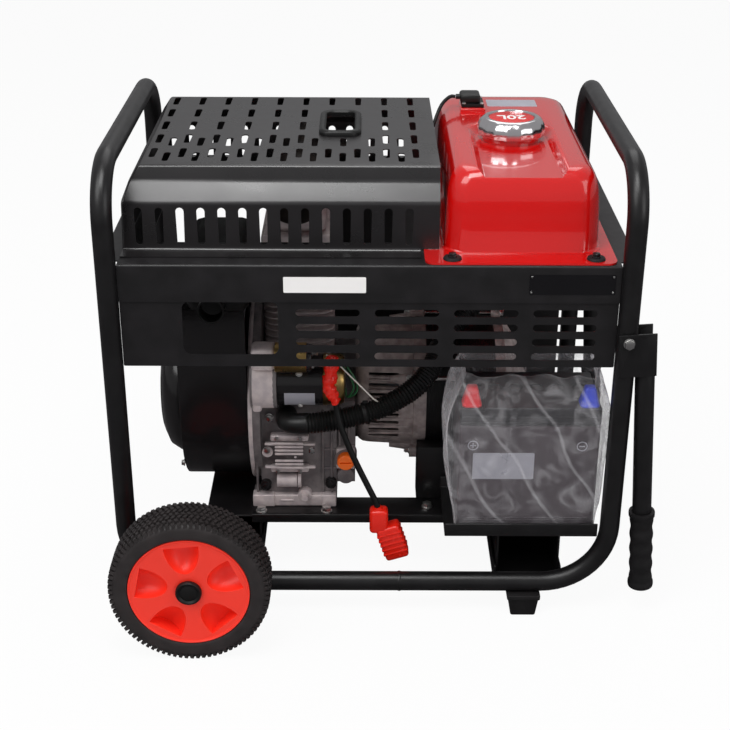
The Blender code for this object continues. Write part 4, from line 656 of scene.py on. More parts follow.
# %% A drawn shell
def drawn_shell(bm, levels, radius, corner_steps=8):
    """Extrude a round-cornered face through levels of (left, right, front, back, z)."""
    verts = bmesh.ops.create_grid(bm, x_segments=1, y_segments=1, size=0.5)["verts"]
    left, right, front, back, z = levels[0]
    for vert in verts:
        vert.co = ((right if vert.co.x > 0 else left), (back if vert.co.y > 0 else front), z)
    made = bmesh.ops.bevel(bm, geom=verts, offset=radius, offset_type="OFFSET", segments=corner_steps,
                           profile=0.5,
                           affect="VERTICES", material=-1, clamp_overlap=True)
    face = max({each for vert in made["verts"] for each in vert.link_faces}, key=lambda each: len(each.verts))
    every = list(face.verts)
    for before, after in zip(levels, levels[1:]):
        geometry = bmesh.ops.extrude_face_region(bm, geom=[face], use_keep_orig=before is levels[0])["geom"]
        if before is not levels[0] and face.is_valid:
            bmesh.ops.delete(bm, geom=[face], context="FACES_ONLY")
        face = next(part for part in geometry if isinstance(part, bmesh.types.BMFace))
        for vert in face.verts:
            across = (vert.co.x - before[0]) / (before[1] - before[0])
            along = (vert.co.y - before[2]) / (before[3] - before[2])
            vert.co = (after[0] + across * (after[1] - after[0]), after[2] + along * (after[3] - after[2]),
                       after[4])
        every += face.verts
    return [vert for vert in set(every) if vert.is_valid]


# %% Tank halves and flange
TANK = (0.1005, 0.3080, -0.205, 0.205)
TANK_TOP = 0.652
CAP = Vector((0.2015, -0.012, TANK_TOP))


def tank_level(inset, z):
    return (TANK[0] + inset, TANK[1] - inset, TANK[2] + inset, TANK[3] - inset, z)


SHOULDER = [(-0.0035, 0.5410), (-0.0010, 0.5417), (0.0, 0.5435), (0.0008, 0.590), (0.0030, 0.620),
            (0.0062, 0.634),
            (0.0090, 0.6405), (0.0126, 0.6455), (0.0168, 0.6490), (0.0215, 0.6511), (0.0270, 0.6519),
            (0.040, TANK_TOP)]
CHANNEL_Z = TANK_TOP - 0.0100
bm = bmesh.new()
drawn_shell(bm, [tank_level(inset, z) for inset, z in SHOULDER], 0.031, corner_steps=10)
CHANNEL_WALL = [(0.0, 0.0), (0.0008, 0.0002), (0.0015, 0.0007), (0.0078, 0.0078), (0.0095, 0.0091),
                (0.0115, 0.0098),
                (0.0145, 0.0101), (0.0145, 0.0300)]
cutter = bmesh.new()
drawn_shell(cutter,
            [(CAP.x - 0.0500 - out, CAP.x + 0.0500 + out, -0.300, CAP.y + 0.0500 + out, CHANNEL_Z + up)
                     for out, up in CHANNEL_WALL], 0.0498, corner_steps=16)
bm = carve(bm, cutter)
drawn_shell(bm, [tank_level(inset, z)
                 for inset, z in ((0.034, 0.472), (0.027, 0.4728), (0.0215, 0.4765),
                                  (0.0180, 0.484), (0.0150, 0.500), (0.0145, 0.5395))], 0.024)
drawn_shell(bm, [(0.0730, 0.3265, -0.24335, 0.24335, 0.5383), (0.0730, 0.3265, -0.24335, 0.24335, 0.5408)],
            0.014)
disc(bm, (CAP.x, CAP.y, CHANNEL_Z - 0.002), (CAP.x, CAP.y, TANK_TOP + 0.001), 0.041, sides=48, edge=0.002)
block(bm, (0.136, 0.089, TANK_TOP - 0.004), (0.173, 0.139, TANK_TOP + 0.0055), radius=0.002)
hand_over("fuel_tank_drawn", bm, TANK_ENAMEL, replaces=("fuel_tank",), smooth=32)

# %% Tank bolts on rubber washers, and the bare label on its back
bm, metal = bmesh.new(), bmesh.new()
for x in (0.1095, 0.2990):
    for y in (-0.2270, 0.2270):
        disc(bm, (x, y, 0.5410), (x, y, 0.5440), 0.0125, 0.0115, sides=32, edge=0.0008)
        bolt(metal, (x, y, 0.5440), (0, 0, 1), size=0.006)
hand_over("tank_rubber_washers", bm, GRIP_RUBBER)
hand_over("tank_bolts", metal, STOVED_BLACK)


def plate(bm, left, right, low, high, y, thickness, corner, side=-1):
    """A thin plate with round corners that faces along Y."""
    top = drawn_shell(bm, [(left, right, low, high, 0.0), (left, right, low, high, thickness)], corner, 5)
    turn = (Matrix.Rotation(math.radians(90), 4, "X") if side < 0
            else Matrix.Rotation(math.radians(90), 4, "X") @ Matrix.Scale(-1, 4, (0, 0, 1)))
    bmesh.ops.transform(bm, matrix=Matrix.Translation((0, y, 0)) @ turn, verts=top)
    return top


bm = bmesh.new()
drawn_shell(bm, [(0.1790, 0.2540, 0.1220, 0.1610, 0.6520), (0.1790, 0.2540, 0.1220, 0.1610, 0.6523)], 0.002)
hand_over("tank_top_label", bm, STICKER_SILVER)

# %% [markdown]
# The cap is pressed from thin steel and chromed. Its skirt is scalloped for grip, so every ring of
# the turned shape outside the crown is pushed in and out in sixteen waves.

# %% Filler cap
SCALLOPS = 16
bm = bmesh.new()
turned(bm, [(0.0, 0.0182), (0.0325, 0.0182), (0.0335, 0.0206), (0.0360, 0.0212), (0.0395, 0.0200),
            (0.0435, 0.0170),
            (0.0468, 0.0120), (0.0482, 0.0060), (0.0484, 0.0000), (0.0478, -0.0026), (0.0462, -0.0030),
            (0.0425, -0.0030), (0.0425, 0.0002), (0.0274, 0.0002), (0.0274, -0.0095), (0.0, -0.0095)],
       (0, 0, 0), (0, 0, 1), steps=128)
for vert in bm.verts:
    reach = math.hypot(vert.co.x, vert.co.y)
    if reach > 0.0385:
        share = min(1.0, (reach - 0.0385) / 0.006)
        wave = 1 - share * 0.024 * (1 + math.cos(SCALLOPS * math.atan2(vert.co.y, vert.co.x))) / 2
        vert.co.x *= wave
        vert.co.y *= wave
bmesh.ops.translate(bm, vec=CAP + Vector((0, 0, 0.0014)), verts=bm.verts)
hand_over("filler_cap_chromed", bm, CHROME_PLATE, body="fuel_cap", replaces=("fuel_cap",), smooth=36)
bm = bmesh.new()
disc(bm, CAP + Vector((0, 0, 0.0190)), CAP + Vector((0, 0, 0.0206)), 0.0318, sides=64, edge=0.0006)
hand_over("filler_cap_disc", bm, PRINT_RED, body="fuel_cap")


def lettering(name, words, size, place, turn, material, body="machine", thickness=0.0002):
    """Raised print, made a mesh before it is turned into place."""
    text = bpy.data.curves.new(name, "FONT")
    text.body, text.size, text.extrude, text.offset = words, size, thickness, size * 0.02
    text.align_x, text.align_y = "CENTER", "CENTER"
    maker = bpy.data.objects.new(name, text)
    bpy.context.scene.collection.objects.link(maker)
    bpy.context.view_layer.update()
    mesh = bpy.data.meshes.new_from_object(maker.evaluated_get(bpy.context.evaluated_depsgraph_get()))
    bpy.data.objects.remove(maker)
    mesh.transform(Matrix.Translation(Vector(place) + Vector((X0, 0, 0))) @ turn)
    return hand_over_mesh(name, mesh, material, body)


lettering("filler_cap_volume", "20L", 0.027, CAP + Vector((0, 0.0, 0.0208)), Matrix.Rotation(math.pi, 4, "Z"),
          PRINT_WHITE, "fuel_cap")

# %% Fuel sender and its cable
refined("fuel_sender", MOULDED_BLACK, bevel=0.0012)
bm = bmesh.new()
for x, y in ((0.1410, 0.0955), (0.1680, 0.0955), (0.1410, 0.1325), (0.1680, 0.1325)):
    bolt(bm, (x, y, TANK_TOP + 0.0110), (0, 0, 1), size=0.003, washer=False)
hand_over("sender_screws", bm, ZINC_PLATE)
SENDER_TOP = TANK_TOP + 0.0058
bm = bmesh.new()
swept_route(bm, smooth_route([(0.1294, 0.114, SENDER_TOP + 0.0115), (0.121, 0.1135, SENDER_TOP + 0.0112),
                              (0.108, 0.100, SENDER_TOP + 0.002), (0.098, 0.085, SENDER_TOP - 0.018),
                              (0.088, 0.070, SENDER_TOP - 0.045), (0.076, 0.058, SENDER_TOP - 0.075),
                              (0.0625, 0.052, SENDER_TOP - 0.100), (0.0595, 0.052, DECK_Z + 3 * GAP)], 3),
            0.0027, sides=12)
hand_over("sender_cable_run", bm, CABLE_JACKET, replaces=("sender_cable",))

# %% [markdown]
# ## Heat shield
# The shield over the muffler is one folded sheet: flat top, steep shoulder, upright walls, and foot
# flanges on the deck. Its corners are laid out as a few vertices, the folds are rounded, the sheet is
# given its thickness, and then every slot is cut with round ends as a punch leaves them.

# %% Folded shield
SHEET = 0.0015
SHIELD_X, SHIELD_Y = (-0.3305, 0.0935), (-0.193, 0.205)
SHIELD_LEVELS = [(0.5398, 0.0, 0.0), (0.6055, 0.0, 0.0015), (0.6300, 0.0190, 0.0110),
                 (0.6500, 0.0215, 0.0245)]
bm = bmesh.new()
loops = []
for z, step_in, lean in SHIELD_LEVELS:
    left, front, back = SHIELD_X[0] + lean, SHIELD_Y[0] + step_in, SHIELD_Y[1] - step_in
    loops.append([bm.verts.new(spot) for spot in ((SHIELD_X[1], front, z), (left, front, z),
                                                  (left, back, z), (SHIELD_X[1], back, z))])
for lower, upper in zip(loops, loops[1:]):
    for i in range(3):
        bm.faces.new((lower[i], lower[i + 1], upper[i + 1], upper[i]))
bm.faces.new(loops[-1])
for ends, outwards in (((0, 1), -0.027), ((2, 3), 0.027)):
    edge = bm.edges.get((loops[0][ends[0]], loops[0][ends[1]]))
    made = bmesh.ops.extrude_edge_only(bm, edges=[edge])["geom"]
    bmesh.ops.translate(bm, vec=(0, outwards, 0),
                        verts=[v for v in made if isinstance(v, bmesh.types.BMVert)])
bmesh.ops.recalc_face_normals(bm, faces=bm.faces)
folds = [e for e in bm.edges if len(e.link_faces) == 2 and e.calc_face_angle(0) > math.radians(8)]
bmesh.ops.bevel(bm, geom=folds, offset=0.0032, offset_type="OFFSET", segments=5, profile=0.5, affect="EDGES",
                material=-1, clamp_overlap=True)
top_face = max(bm.faces, key=lambda face: face.calc_center_median().z)
if top_face.normal.z < 0:
    bmesh.ops.reverse_faces(bm, faces=bm.faces)
bmesh.ops.solidify(bm, geom=bm.faces[:], thickness=SHEET)
top = max(vert.co.z for vert in bm.verts)
if top > 0.6505:
    bmesh.ops.translate(bm, vec=(0, 0, 0.6500 - top), verts=bm.verts)
slots = bmesh.new()
for i in range(14):
    for y in SHIELD_Y:
        stadium(slots, (-0.3071 + 0.0277 * i, y, 0.5725), 0.052, 0.0110, 0.030, along="Z", through="Y",
                sides=6)
for i in range(10):
    for j in range(5):
        if not (i in (6, 7) and j in (1, 2, 3)):
            stadium(slots, (-0.2937 + 0.0396 * i, -0.1146 + 0.0673 * j, 0.649), 0.042, 0.0095, 0.02, "Y", "Z",
                    sides=6)
for i in range(9):
    for y in (-0.1329, -0.0624):
        stadium(slots, (-0.2739 + 0.0396 * i, y, 0.649), 0.040, 0.0095, 0.02, "Y", "Z", sides=6)
WINDOW = (-0.063, -0.020, -0.028, 0.073)
drawn_shell(slots, [(*WINDOW, 0.63), (*WINDOW, 0.67)], 0.010)
block(slots, (0.0685, -0.260, 0.530), (0.200, 0.260, 0.5420))
bm = carve(bm, slots)
hand_over("heat_shield_folded", bm, SHIELD_COAT, replaces=("heat_shield",), smooth=25)
print("shield top at z =", round(top, 4))

# %% Rubber grommet in the shield
bm = bmesh.new()
GROMMET = [(0.0, 0.0, 0.6503), (0.0, 0.0, 0.6540), (0.0015, 0.0015, 0.6565), (0.0040, 0.0040, 0.6578),
           (0.0072, 0.0072, 0.6572), (0.0092, 0.0092, 0.6550)]
drawn_shell(bm, [(-0.0715 + step, -0.0115 - step, -0.034 + step, 0.084 - step, z) for step, _, z in GROMMET],
            0.016)
hole = bmesh.new()
drawn_shell(hole, [(-0.0622, -0.0208, -0.0247, 0.0747, 0.64), (-0.0622, -0.0208, -0.0247, 0.0747, 0.67)],
            0.010)
bm = carve(bm, hole)
hand_over("shield_grommet_moulded", bm, MOULDED_BLACK, replaces=("shield_grommet",), smooth=35)

# %% [markdown]
# ## Deck and side panel
# The deck is a folded tray whose skirt is the wide band above the slotted panel. The panel is a flat
# curve with its slots as inner outlines, which Blender fills like a stencil and gives a thickness.

# %% Deck
DECK_SHEET, SKIRT_Z, BAY_X, BAY_Y, DECK_END_X = 0.0016, 0.4855, 0.3313, 0.23105, 0.3545
middle = DECK_Z - DECK_SHEET / 2
bm = bmesh.new()
row = [bm.verts.new((-BAY_X, y, z)) for y, z in ((-HALF_D, SKIRT_Z), (-HALF_D, middle),
                                                 (HALF_D, middle), (HALF_D, SKIRT_Z))]
edges = [bm.edges.new(pair) for pair in zip(row, row[1:])]
made = bmesh.ops.extrude_edge_only(bm, edges=edges)["geom"]
bmesh.ops.translate(bm, vec=(2 * BAY_X, 0, 0), verts=[v for v in made if isinstance(v, bmesh.types.BMVert)])
folds = [e for e in bm.edges if len(e.link_faces) == 2]
bmesh.ops.bevel(bm, geom=folds, offset=0.0026, offset_type="OFFSET", segments=5, profile=0.5, affect="EDGES",
                material=-1, clamp_overlap=True)
mesh = bpy.data.meshes.new("deck sheet")
bm.to_mesh(mesh)
bm.free()
maker = bpy.data.objects.new("deck sheet", mesh)
bpy.context.scene.collection.objects.link(maker)
wall = maker.modifiers.new("thickness", "SOLIDIFY")
wall.thickness, wall.offset, wall.use_even_offset = DECK_SHEET, 0, True
bm = bmesh.new()
bm.from_mesh(bpy.data.meshes.new_from_object(maker.evaluated_get(bpy.context.evaluated_depsgraph_get())))
bpy.data.objects.remove(maker)
openings = bmesh.new()
drawn_shell(openings, [(-0.300, 0.045, -0.160, 0.160, 0.52), (-0.300, 0.045, -0.160, 0.160, 0.55)], 0.006)
drawn_shell(openings, [(0.0995, 0.3090, -0.192, 0.192, 0.52), (0.0995, 0.3090, -0.192, 0.192, 0.55)], 0.006)
bm = carve(bm, openings)
for side in (-1, 1):
    low, high = sorted((side * BAY_X, side * DECK_END_X))
    block(bm, (low, -BAY_Y, DECK_Z - DECK_SHEET), (high, BAY_Y, DECK_Z))
hand_over("deck_tray", bm, DECK_BLACK, replaces=("deck",), smooth=35, merge=0.000001)


# %% Slotted side panel
def outline(data, left, right, low, high, radius, steps=6):
    """A closed spline round a rectangle with arcs for corners."""
    points = []
    for x, z, turn in ((right, low, -90), (right, high, 0), (left, high, 90), (left, low, 180)):
        middle_x = x - math.copysign(radius, x - (left + right) / 2)
        middle_z = z - math.copysign(radius, z - (low + high) / 2)
        for step in range(steps + 1):
            angle = math.radians(turn + 90 * step / steps)
            points.append((middle_x + radius * math.cos(angle), middle_z + radius * math.sin(angle)))
    spline = data.splines.new("POLY")
    spline.points.add(len(points) - 1)
    for spot, (x, z) in zip(spline.points, points):
        spot.co = (x, z, 0, 1)
    spline.use_cyclic_u = True


stencil = bpy.data.curves.new("panel stencil", "CURVE")
stencil.dimensions, stencil.fill_mode, stencil.extrude = "2D", "BOTH", SHEET / 2
outline(stencil, -BAY_X, BAY_X, 0.391, SKIRT_Z + 0.012, 0.002)
for i in range(4):
    for j in range(4):
        x, z = -0.05525 + 0.1055 * i, 0.4065 + 0.0210 * j
        outline(stencil, x - 0.04275, x + 0.04275, z - 0.00515, z + 0.00515, 0.0051, steps=8)
outline(stencil, -0.2490, -0.1215, 0.4085, 0.4850, 0.010, steps=8)
maker = bpy.data.objects.new("panel stencil", stencil)
bpy.context.scene.collection.objects.link(maker)
bpy.context.view_layer.update()
mesh = bpy.data.meshes.new_from_object(maker.evaluated_get(bpy.context.evaluated_depsgraph_get()))
bpy.data.objects.remove(maker)
bm = bmesh.new()
bm.from_mesh(mesh)
panel_y = -(HALF_D - DECK_SHEET / 2 - GAP - SHEET / 2)
bmesh.ops.transform(bm, matrix=Matrix.Translation((0, panel_y, 0)) @ Matrix.Rotation(math.pi / 2, 4, "X"),
                    verts=bm.verts)
hand_over("side_panel_slotted", bm, DECK_BLACK, replaces=("side_panel_front",), smooth=30)

# %% Bare sticker and nameplate on the skirt
FASCIA_Y = -(HALF_D + DECK_SHEET / 2)
bm = bmesh.new()
plate(bm, -0.1133, -0.0043, 0.4995, 0.5218, FASCIA_Y, 0.00025, 0.0015)
hand_over("warning_sticker_blank", bm, STICKER_WHITE)
bm = bmesh.new()
plate(bm, 0.2105, 0.3242, 0.4980, 0.5260, FASCIA_Y, 0.0006, 0.0015)
hand_over("nameplate_blank", bm, PLATE_BLACK)
bm = bmesh.new()
for x in (0.2135, 0.3212):
    for z in (0.5010, 0.5230):
        disc(bm, (x, FASCIA_Y - 0.0006, z), (x, FASCIA_Y - 0.0016, z), 0.0016, 0.0010, sides=16)
hand_over("nameplate_rivets", bm, ZINC_PLATE)

# %% [markdown]
# ## Tow handles, feet and bed
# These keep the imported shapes: plate and tube whose only fine detail is a rounded edge. The grips and
# the hinge bolts are made again, because a turned ring or a hexagon head catches the light.

# %% Handles and their grips
PIVOT_Z, HANDLE_LEAN = 0.4346, math.radians(3.986)
for label, sign in (("front", -1), ("rear", 1)):
    refined(f"tow_handle_{label}", POWDER_BLACK, bevel=0.0007)
    bm = bmesh.new()
    outer = [(0.0138, 0.1260), (0.0182, 0.1260), (0.0186, 0.1240), (0.0184, 0.1190), (0.0168, 0.1165)]
    for step in range(33):
        outer.append((0.0161 + 0.0008 * math.cos(math.pi * step / 4), 0.1130 - step * 0.0031))
    outer += [(0.0168, 0.0110), (0.0182, 0.0085), (0.0184, 0.0040), (0.0178, 0.0008), (0.0140, 0.0),
              (0.0, 0.0)]
    sleeve = turned(bm, [(0.0, 0.0037), (0.0138, 0.0037), *outer], (0.025, 0, -0.397), (0, 0, 1), steps=40)
    bmesh.ops.transform(bm, matrix=Matrix.Translation((HALF_L, sign * HALF_D, PIVOT_Z))
                        @ Matrix.Rotation(-HANDLE_LEAN, 4, "Y"), verts=sleeve)
    hand_over(f"grip_{label}_moulded", bm, GRIP_RUBBER, body=f"handle_{label}",
              replaces=(f"handle_grip_{label}",),
              smooth=50)
    bm = bmesh.new()
    hinge = Vector((HALF_L, sign * HALF_D, PIVOT_Z))
    bolt(bm, hinge + Vector((0, sign * 0.0176, 0)), (0, sign, 0), size=0.0075)
    disc(bm, hinge - Vector((0, sign * 0.0176, 0)), hinge + Vector((0, sign * 0.0180, 0)), 0.004, sides=20)
    bolt(bm, hinge - Vector((0, sign * 0.0176, 0)), (0, -sign, 0), size=0.0070, height=0.8)
    hand_over(f"hinge_bolt_{label}", bm, ZINC_PLATE, replaces=(f"handle_bolt_{label}",))
    refined(f"foot_{label}", GRIP_RUBBER, bevel=0.0010)
    refined(f"axle_bracket_{label}", POWDER_BLACK, bevel=0.0006)
    refined(f"bed_rail_{label}", POWDER_BLACK, bevel=0.0009)
for label in ("left", "right"):
    refined(f"cross_channel_{label}", POWDER_BLACK, bevel=0.0009)
    refined(f"bed_riser_{label}", POWDER_BLACK, bevel=0.0009)
refined("battery_tray", POWDER_BLACK, bevel=0.0009)
bm = bmesh.new()
for x in (-0.160, -0.062):
    for y in (-0.142, 0.142):
        bolt(bm, (x, y, 0.1001), (0, 0, 1), size=0.008)
for x in (0.090, 0.136):
    for y in (-0.128, 0.128):
        bolt(bm, (x, y, 0.1001), (0, 0, 1), size=0.008)
for x in (-0.200, 0.2100, 0.2580):
    for y in (-0.205, 0.205):
        bolt(bm, (x, y, 0.0371 if x < 0 else 0.1219), (0, 0, 1), size=0.007)
hand_over("bed_bolts", bm, ZINC_PLATE)

# %% [markdown]
# ## Battery in its film bag
# The case and lid are moulded boxes; two shallow corner pockets seat the soft red and blue post caps.
# The new battery still stands in its clear bag, which is larger than it and hangs loose.

# %% Case, lid and caps
CASE = (0.127, 0.3235, -0.235, -0.117)
CASE_TOP, LID_TOP = 0.2955, 0.3235
bm = bmesh.new()
block(bm, (CASE[0], CASE[2], 0.1268), (CASE[1], CASE[3], CASE_TOP), radius=0.004, segments=4)
for i in range(4):
    block(bm, (CASE[0] + 0.010, CASE[2] - 0.0005, 0.134 + 0.004 * i),
          (CASE[1] - 0.010, CASE[2] + 0.002, 0.1362 + 0.004 * i),
          radius=0.0004, segments=1)
hand_over("battery_case_moulded", bm, CASE_PLASTIC, replaces=("battery_case",))
bm = bmesh.new()
block(bm, (CASE[0], CASE[2], CASE_TOP + GAP), (CASE[1], CASE[3], LID_TOP), radius=0.003, segments=3)
pockets = bmesh.new()
for x in (CASE[0], CASE[1]):
    block(pockets, (x - 0.034, CASE[2] - 0.01, LID_TOP - 0.002), (x + 0.034, CASE[2] + 0.034, LID_TOP + 0.01))
for i in range(6):
    disc(pockets, (0.150 + 0.0300 * i, -0.168, LID_TOP - 0.002), (0.150 + 0.0300 * i, -0.168, LID_TOP + 0.01),
         0.0095)
bm = carve(bm, pockets)
for i in range(6):
    disc(bm, (0.150 + 0.0300 * i, -0.168, LID_TOP - 0.004), (0.150 + 0.0300 * i, -0.168, LID_TOP - 0.0002),
         0.0088, edge=0.0008)
for z in (CASE_TOP + 0.004, CASE_TOP + 0.013):
    block(bm, (CASE[0] + 0.002, CASE[2] - 0.0008, z), (CASE[1] - 0.002, CASE[2] + 0.002, z + 0.0018),
          radius=0.0005)
hand_over("battery_lid_moulded", bm, LID_PLASTIC, replaces=("battery_lid",), smooth=30)
for name, node, x, colour in (("positive_post_cap", "red_terminal_cap", CASE[0] + 0.0165, CAP_RED),
                              ("negative_post_cap", "blue_terminal_cap", CASE[1] - 0.0165, CAP_BLUE)):
    bm = bmesh.new()
    seat, y = LID_TOP - 0.0017, CASE[2] + 0.017
    drawn_shell(bm, [(x - half, x + half, y - half, y + half, seat + up) for half, up in
                     ((0.0130, 0.0), (0.0135, 0.0006), (0.0135, 0.0030), (0.0126, 0.0038), (0.0124, 0.0065),
                      (0.0112, 0.0110),
                      (0.0092, 0.0190), (0.0078, 0.0250), (0.0068, 0.0272), (0.0052, 0.0280))], 0.0055)
    hand_over(name, bm, colour, replaces=(node,), smooth=50)
bm = bmesh.new()
plate(bm, 0.1468, 0.2333, 0.2112, 0.2529, CASE[2], 0.0003, 0.002)
hand_over("battery_label_blank", bm, STICKER_SILVER)
bm = bmesh.new()
for x, z, plus in ((0.1464, 0.2650, True), (0.2991, 0.2640, False)):
    turned(bm, [(0.0062, 0.0), (0.0075, 0.0), (0.0075, 0.0006), (0.0062, 0.0006)], (x, CASE[2], z),
           (0, -1, 0))
    block(bm, (x - 0.0040, CASE[2] - 0.0006, z - 0.0008), (x + 0.0040, CASE[2] + 0.0002, z + 0.0008))
    if plus:
        block(bm, (x - 0.0008, CASE[2] - 0.0006, z - 0.0040), (x + 0.0008, CASE[2] + 0.0002, z + 0.0040))
hand_over("battery_polarity_marks", bm, STICKER_SILVER)

# %% Clear bag
# Polythene film is nearly invisible face on and turns milky where it is seen on edge, so the shader
# mixes transparency with a soft shine by how the film faces.
FILM = bpy.data.materials.new("clear polythene film")
FILM.use_nodes = True
tree = FILM.node_tree
skin = tree.nodes["Principled BSDF"]
skin.inputs["Base Color"].default_value = linear("f8f6fa")
skin.inputs["Roughness"].default_value = 0.16
skin.inputs["Specular IOR Level"].default_value = 0.9
place = add(tree, "ShaderNodeTexCoord").outputs["Object"]
facing = add(tree, "ShaderNodeLayerWeight", {"Blend": 0.35})
cloudy = add(tree, "ShaderNodeTexNoise", {"Vector": place, "Scale": 26.0, "Detail": 5.0, "Distortion": 1.6})
milk = add(tree, "ShaderNodeMapRange", {"Value": cloudy.outputs["Fac"], "From Min": 0.45, "From Max": 0.75,
                                        "To Min": 0.03, "To Max": 0.13})
edge_on = add(tree, "ShaderNodeMapRange", {"Value": facing.outputs["Facing"], "From Min": 0.15,
                                           "From Max": 1.0,
                                           "To Min": 0.0, "To Max": 0.60})
# Thin diagonal streaks of extra milky film are painted highlights: painted sheen lines drawn into the
# opacity, not folds in the film.
leaning = add(tree, "ShaderNodeMapping", {"Vector": place, "Rotation": (0.0, 0.55, 0.0)})
sheen_streak_wave = add(tree, "ShaderNodeTexWave", {"Vector": leaning.outputs[0], "Scale": 5.0, "Distortion": 3.0,
                                           "Detail": 1.0,
                                           "Detail Scale": 1.2}, bands_direction="X")
painted_sheen_streaks = add(tree, "ShaderNodeMapRange", {"Value": sheen_streak_wave.outputs["Fac"], "From Min": 0.975,
                                          "From Max": 1.0,
                                          "To Min": 0.0, "To Max": 0.08})
haze = add(tree, "ShaderNodeMath", {0: milk.outputs[0], 1: edge_on.outputs[0]}, operation="ADD")
cover = add(tree, "ShaderNodeMath", {0: haze.outputs[0], 1: painted_sheen_streaks.outputs[0]}, operation="ADD",
            use_clamp=True)
fold = add(tree, "ShaderNodeBump", {"Height": cloudy.outputs["Fac"], "Strength": 0.7, "Distance": 0.0025})
tree.links.new(fold.outputs[0], skin.inputs["Normal"])
tree.links.new(cover.outputs[0], skin.inputs["Alpha"])

# The bag is a tube of film drawn up ring by ring. Each ring is the battery's own rectangle let out
# by what the film stands off, with folds that run up and lean over, and the mouth falls inwards.
BAG_RINGS = 46
BAG_TOP = 0.3660
noise.seed_set(7)
bm = bmesh.new()
drawn_shell(bm, [(CASE[0] - 0.0022, CASE[1] + 0.0012, CASE[2] - 0.0022, CASE[3] + 0.0022, 0.1257),
                 (CASE[0] - 0.0022, CASE[1] + 0.0012, CASE[2] - 0.0022, CASE[3] + 0.0022, 0.1262)], 0.004,
            corner_steps=6)
bmesh.ops.delete(bm, geom=[face for face in bm.faces if face.calc_center_median().z > 0.1259
                           or abs(face.normal.z) < 0.5], context="FACES")
bmesh.ops.delete(bm, geom=[vert for vert in bm.verts if not vert.link_faces], context="VERTS")
sides = [edge for edge in bm.edges if edge.is_boundary]
bmesh.ops.subdivide_edges(bm, edges=[edge for edge in sides if edge.calc_length() > 0.05], cuts=30)
edges = [edge for edge in bm.edges if edge.is_boundary]
mid_x, mid_y = (CASE[0] + CASE[1]) / 2, (CASE[2] + CASE[3]) / 2
for ring in range(1, BAG_RINGS + 1):
    up = ring / BAG_RINGS
    made = bmesh.ops.extrude_edge_only(bm, edges=edges)["geom"]
    fresh = [part for part in made if isinstance(part, bmesh.types.BMVert)]
    edges = [part for part in made if isinstance(part, bmesh.types.BMEdge) and set(part.verts) <= set(fresh)]
    z = 0.1262 + (BAG_TOP - 0.1262) * up
    for vert in fresh:
        vert.co.z = z
for vert in bm.verts:
    if vert.co.z < 0.1260:
        continue
    up = (vert.co.z - 0.1262) / (BAG_TOP - 0.1262)
    x, y = vert.co.x, vert.co.y
    out_x, out_y = (x - mid_x) / 0.100, (y - mid_y) / 0.061
    sideways = Vector((math.copysign(1, out_x), 0,
                       0)) if abs(out_x) > abs(out_y) else Vector((0, math.copysign(1, out_y), 0))
    lean = Vector((x * 26, y * 26, vert.co.z * 9 + (x + y) * 6))
    fold_size = 0.0065 * min(1.0, up * 5) * (0.55 + 0.75 * up)
    let_out = fold_size * max(0.0, 0.45 + noise.noise(lean) + 0.5 * noise.noise(lean * 2.3))
    if sideways.x:
        let_out += (0.010 * math.sin(math.pi * min(1.0, max(0.0, (up - 0.12) / 0.88)))
                    * (1.25 if out_x < 0 else 0.45))
    if sideways.y > 0:
        let_out *= 0.5
    if sideways.y < 0:
        let_out = min(let_out, 0.0085)
    vert.co += sideways * let_out
    if up > 0.80:
        fall = ((up - 0.80) / 0.20) ** 1.6
        vert.co.x += (mid_x - vert.co.x) * 0.10 * fall
        vert.co.y += (mid_y - vert.co.y) * 0.34 * fall
        vert.co.z += 0.006 * fall * noise.noise(Vector((x * 40, y * 40, 3)))
bag_area = sum(face.calc_area() for face in bm.faces)
bag = hand_over("battery_bag_film", bm, FILM, replaces=("battery_bag",), smooth=70)
wall = bag.modifiers.new("film", "SOLIDIFY")
wall.thickness, wall.offset = 0.00008, 0

# %% [markdown]
# ## Engine
# A one-cylinder diesel: a sand cast case on the bed rails, a bright bell flange against the black
# blower housing, a ribbed cover low on the front, and the starter motor in front of the bell.

# %% Crankcase and its bright castings
refined("crankcase", SAND_CAST, bevel=0.0022, segments=3, smooth=45)
CASE_Y = -0.118
bm = bmesh.new()
turned(bm, [(0.1405, -0.1752), (0.1484, -0.1752), (0.1490, -0.1744), (0.1490, -0.1700), (0.1484, -0.1692),
            (0.1405, -0.1692)],
       (0, 0, CRANK_Z), (1, 0, 0), steps=96)
hand_over("bell_flange_machined", bm, CAST_ALUMINIUM)
bm = bmesh.new()
turned(bm, [(0.0, 0.0), (0.0405, 0.0), (0.0422, 0.0015), (0.0422, 0.0300), (0.0405, 0.0345), (0.0365, 0.0358),
            (0.0, 0.0358)],
       (-0.1678, -0.125, 0.3137), (1, 0, 0), steps=56)
block(bm, (-0.1670, -0.1640, 0.3440), (-0.1330, -0.1300, 0.3780), radius=0.006, segments=4)
block(bm, (-0.1676, -0.1560, 0.2740), (-0.1540, -0.1200, 0.3540), radius=0.004)
hand_over("starter_nose_cast", bm, CAST_ALUMINIUM, smooth=45)

bm = bmesh.new()
block(bm, (-0.1735, -0.1276, 0.1002), (-0.0475, -0.1120, 0.1192), radius=0.0022)
for left, right in ((-0.1735, -0.1405), (-0.0695, -0.0475)):
    block(bm, (left, -0.1300, 0.1002), (right, -0.1120, 0.1205), radius=0.0020)
disc(bm, (-0.0948, -0.1120, 0.1190), (-0.0948, -0.1290, 0.1190), 0.0105, edge=0.0012)
block(bm, (-0.1315, -0.1290, 0.1090), (-0.1120, -0.1250, 0.1120), radius=0.001)
hole = bmesh.new()
disc(hole, (-0.0948, -0.1250, 0.1205), (-0.0948, -0.1400, 0.1205), 0.0048)
bm = carve(bm, hole)
hand_over("mounting_foot_machined", bm, CAST_ALUMINIUM, smooth=35)

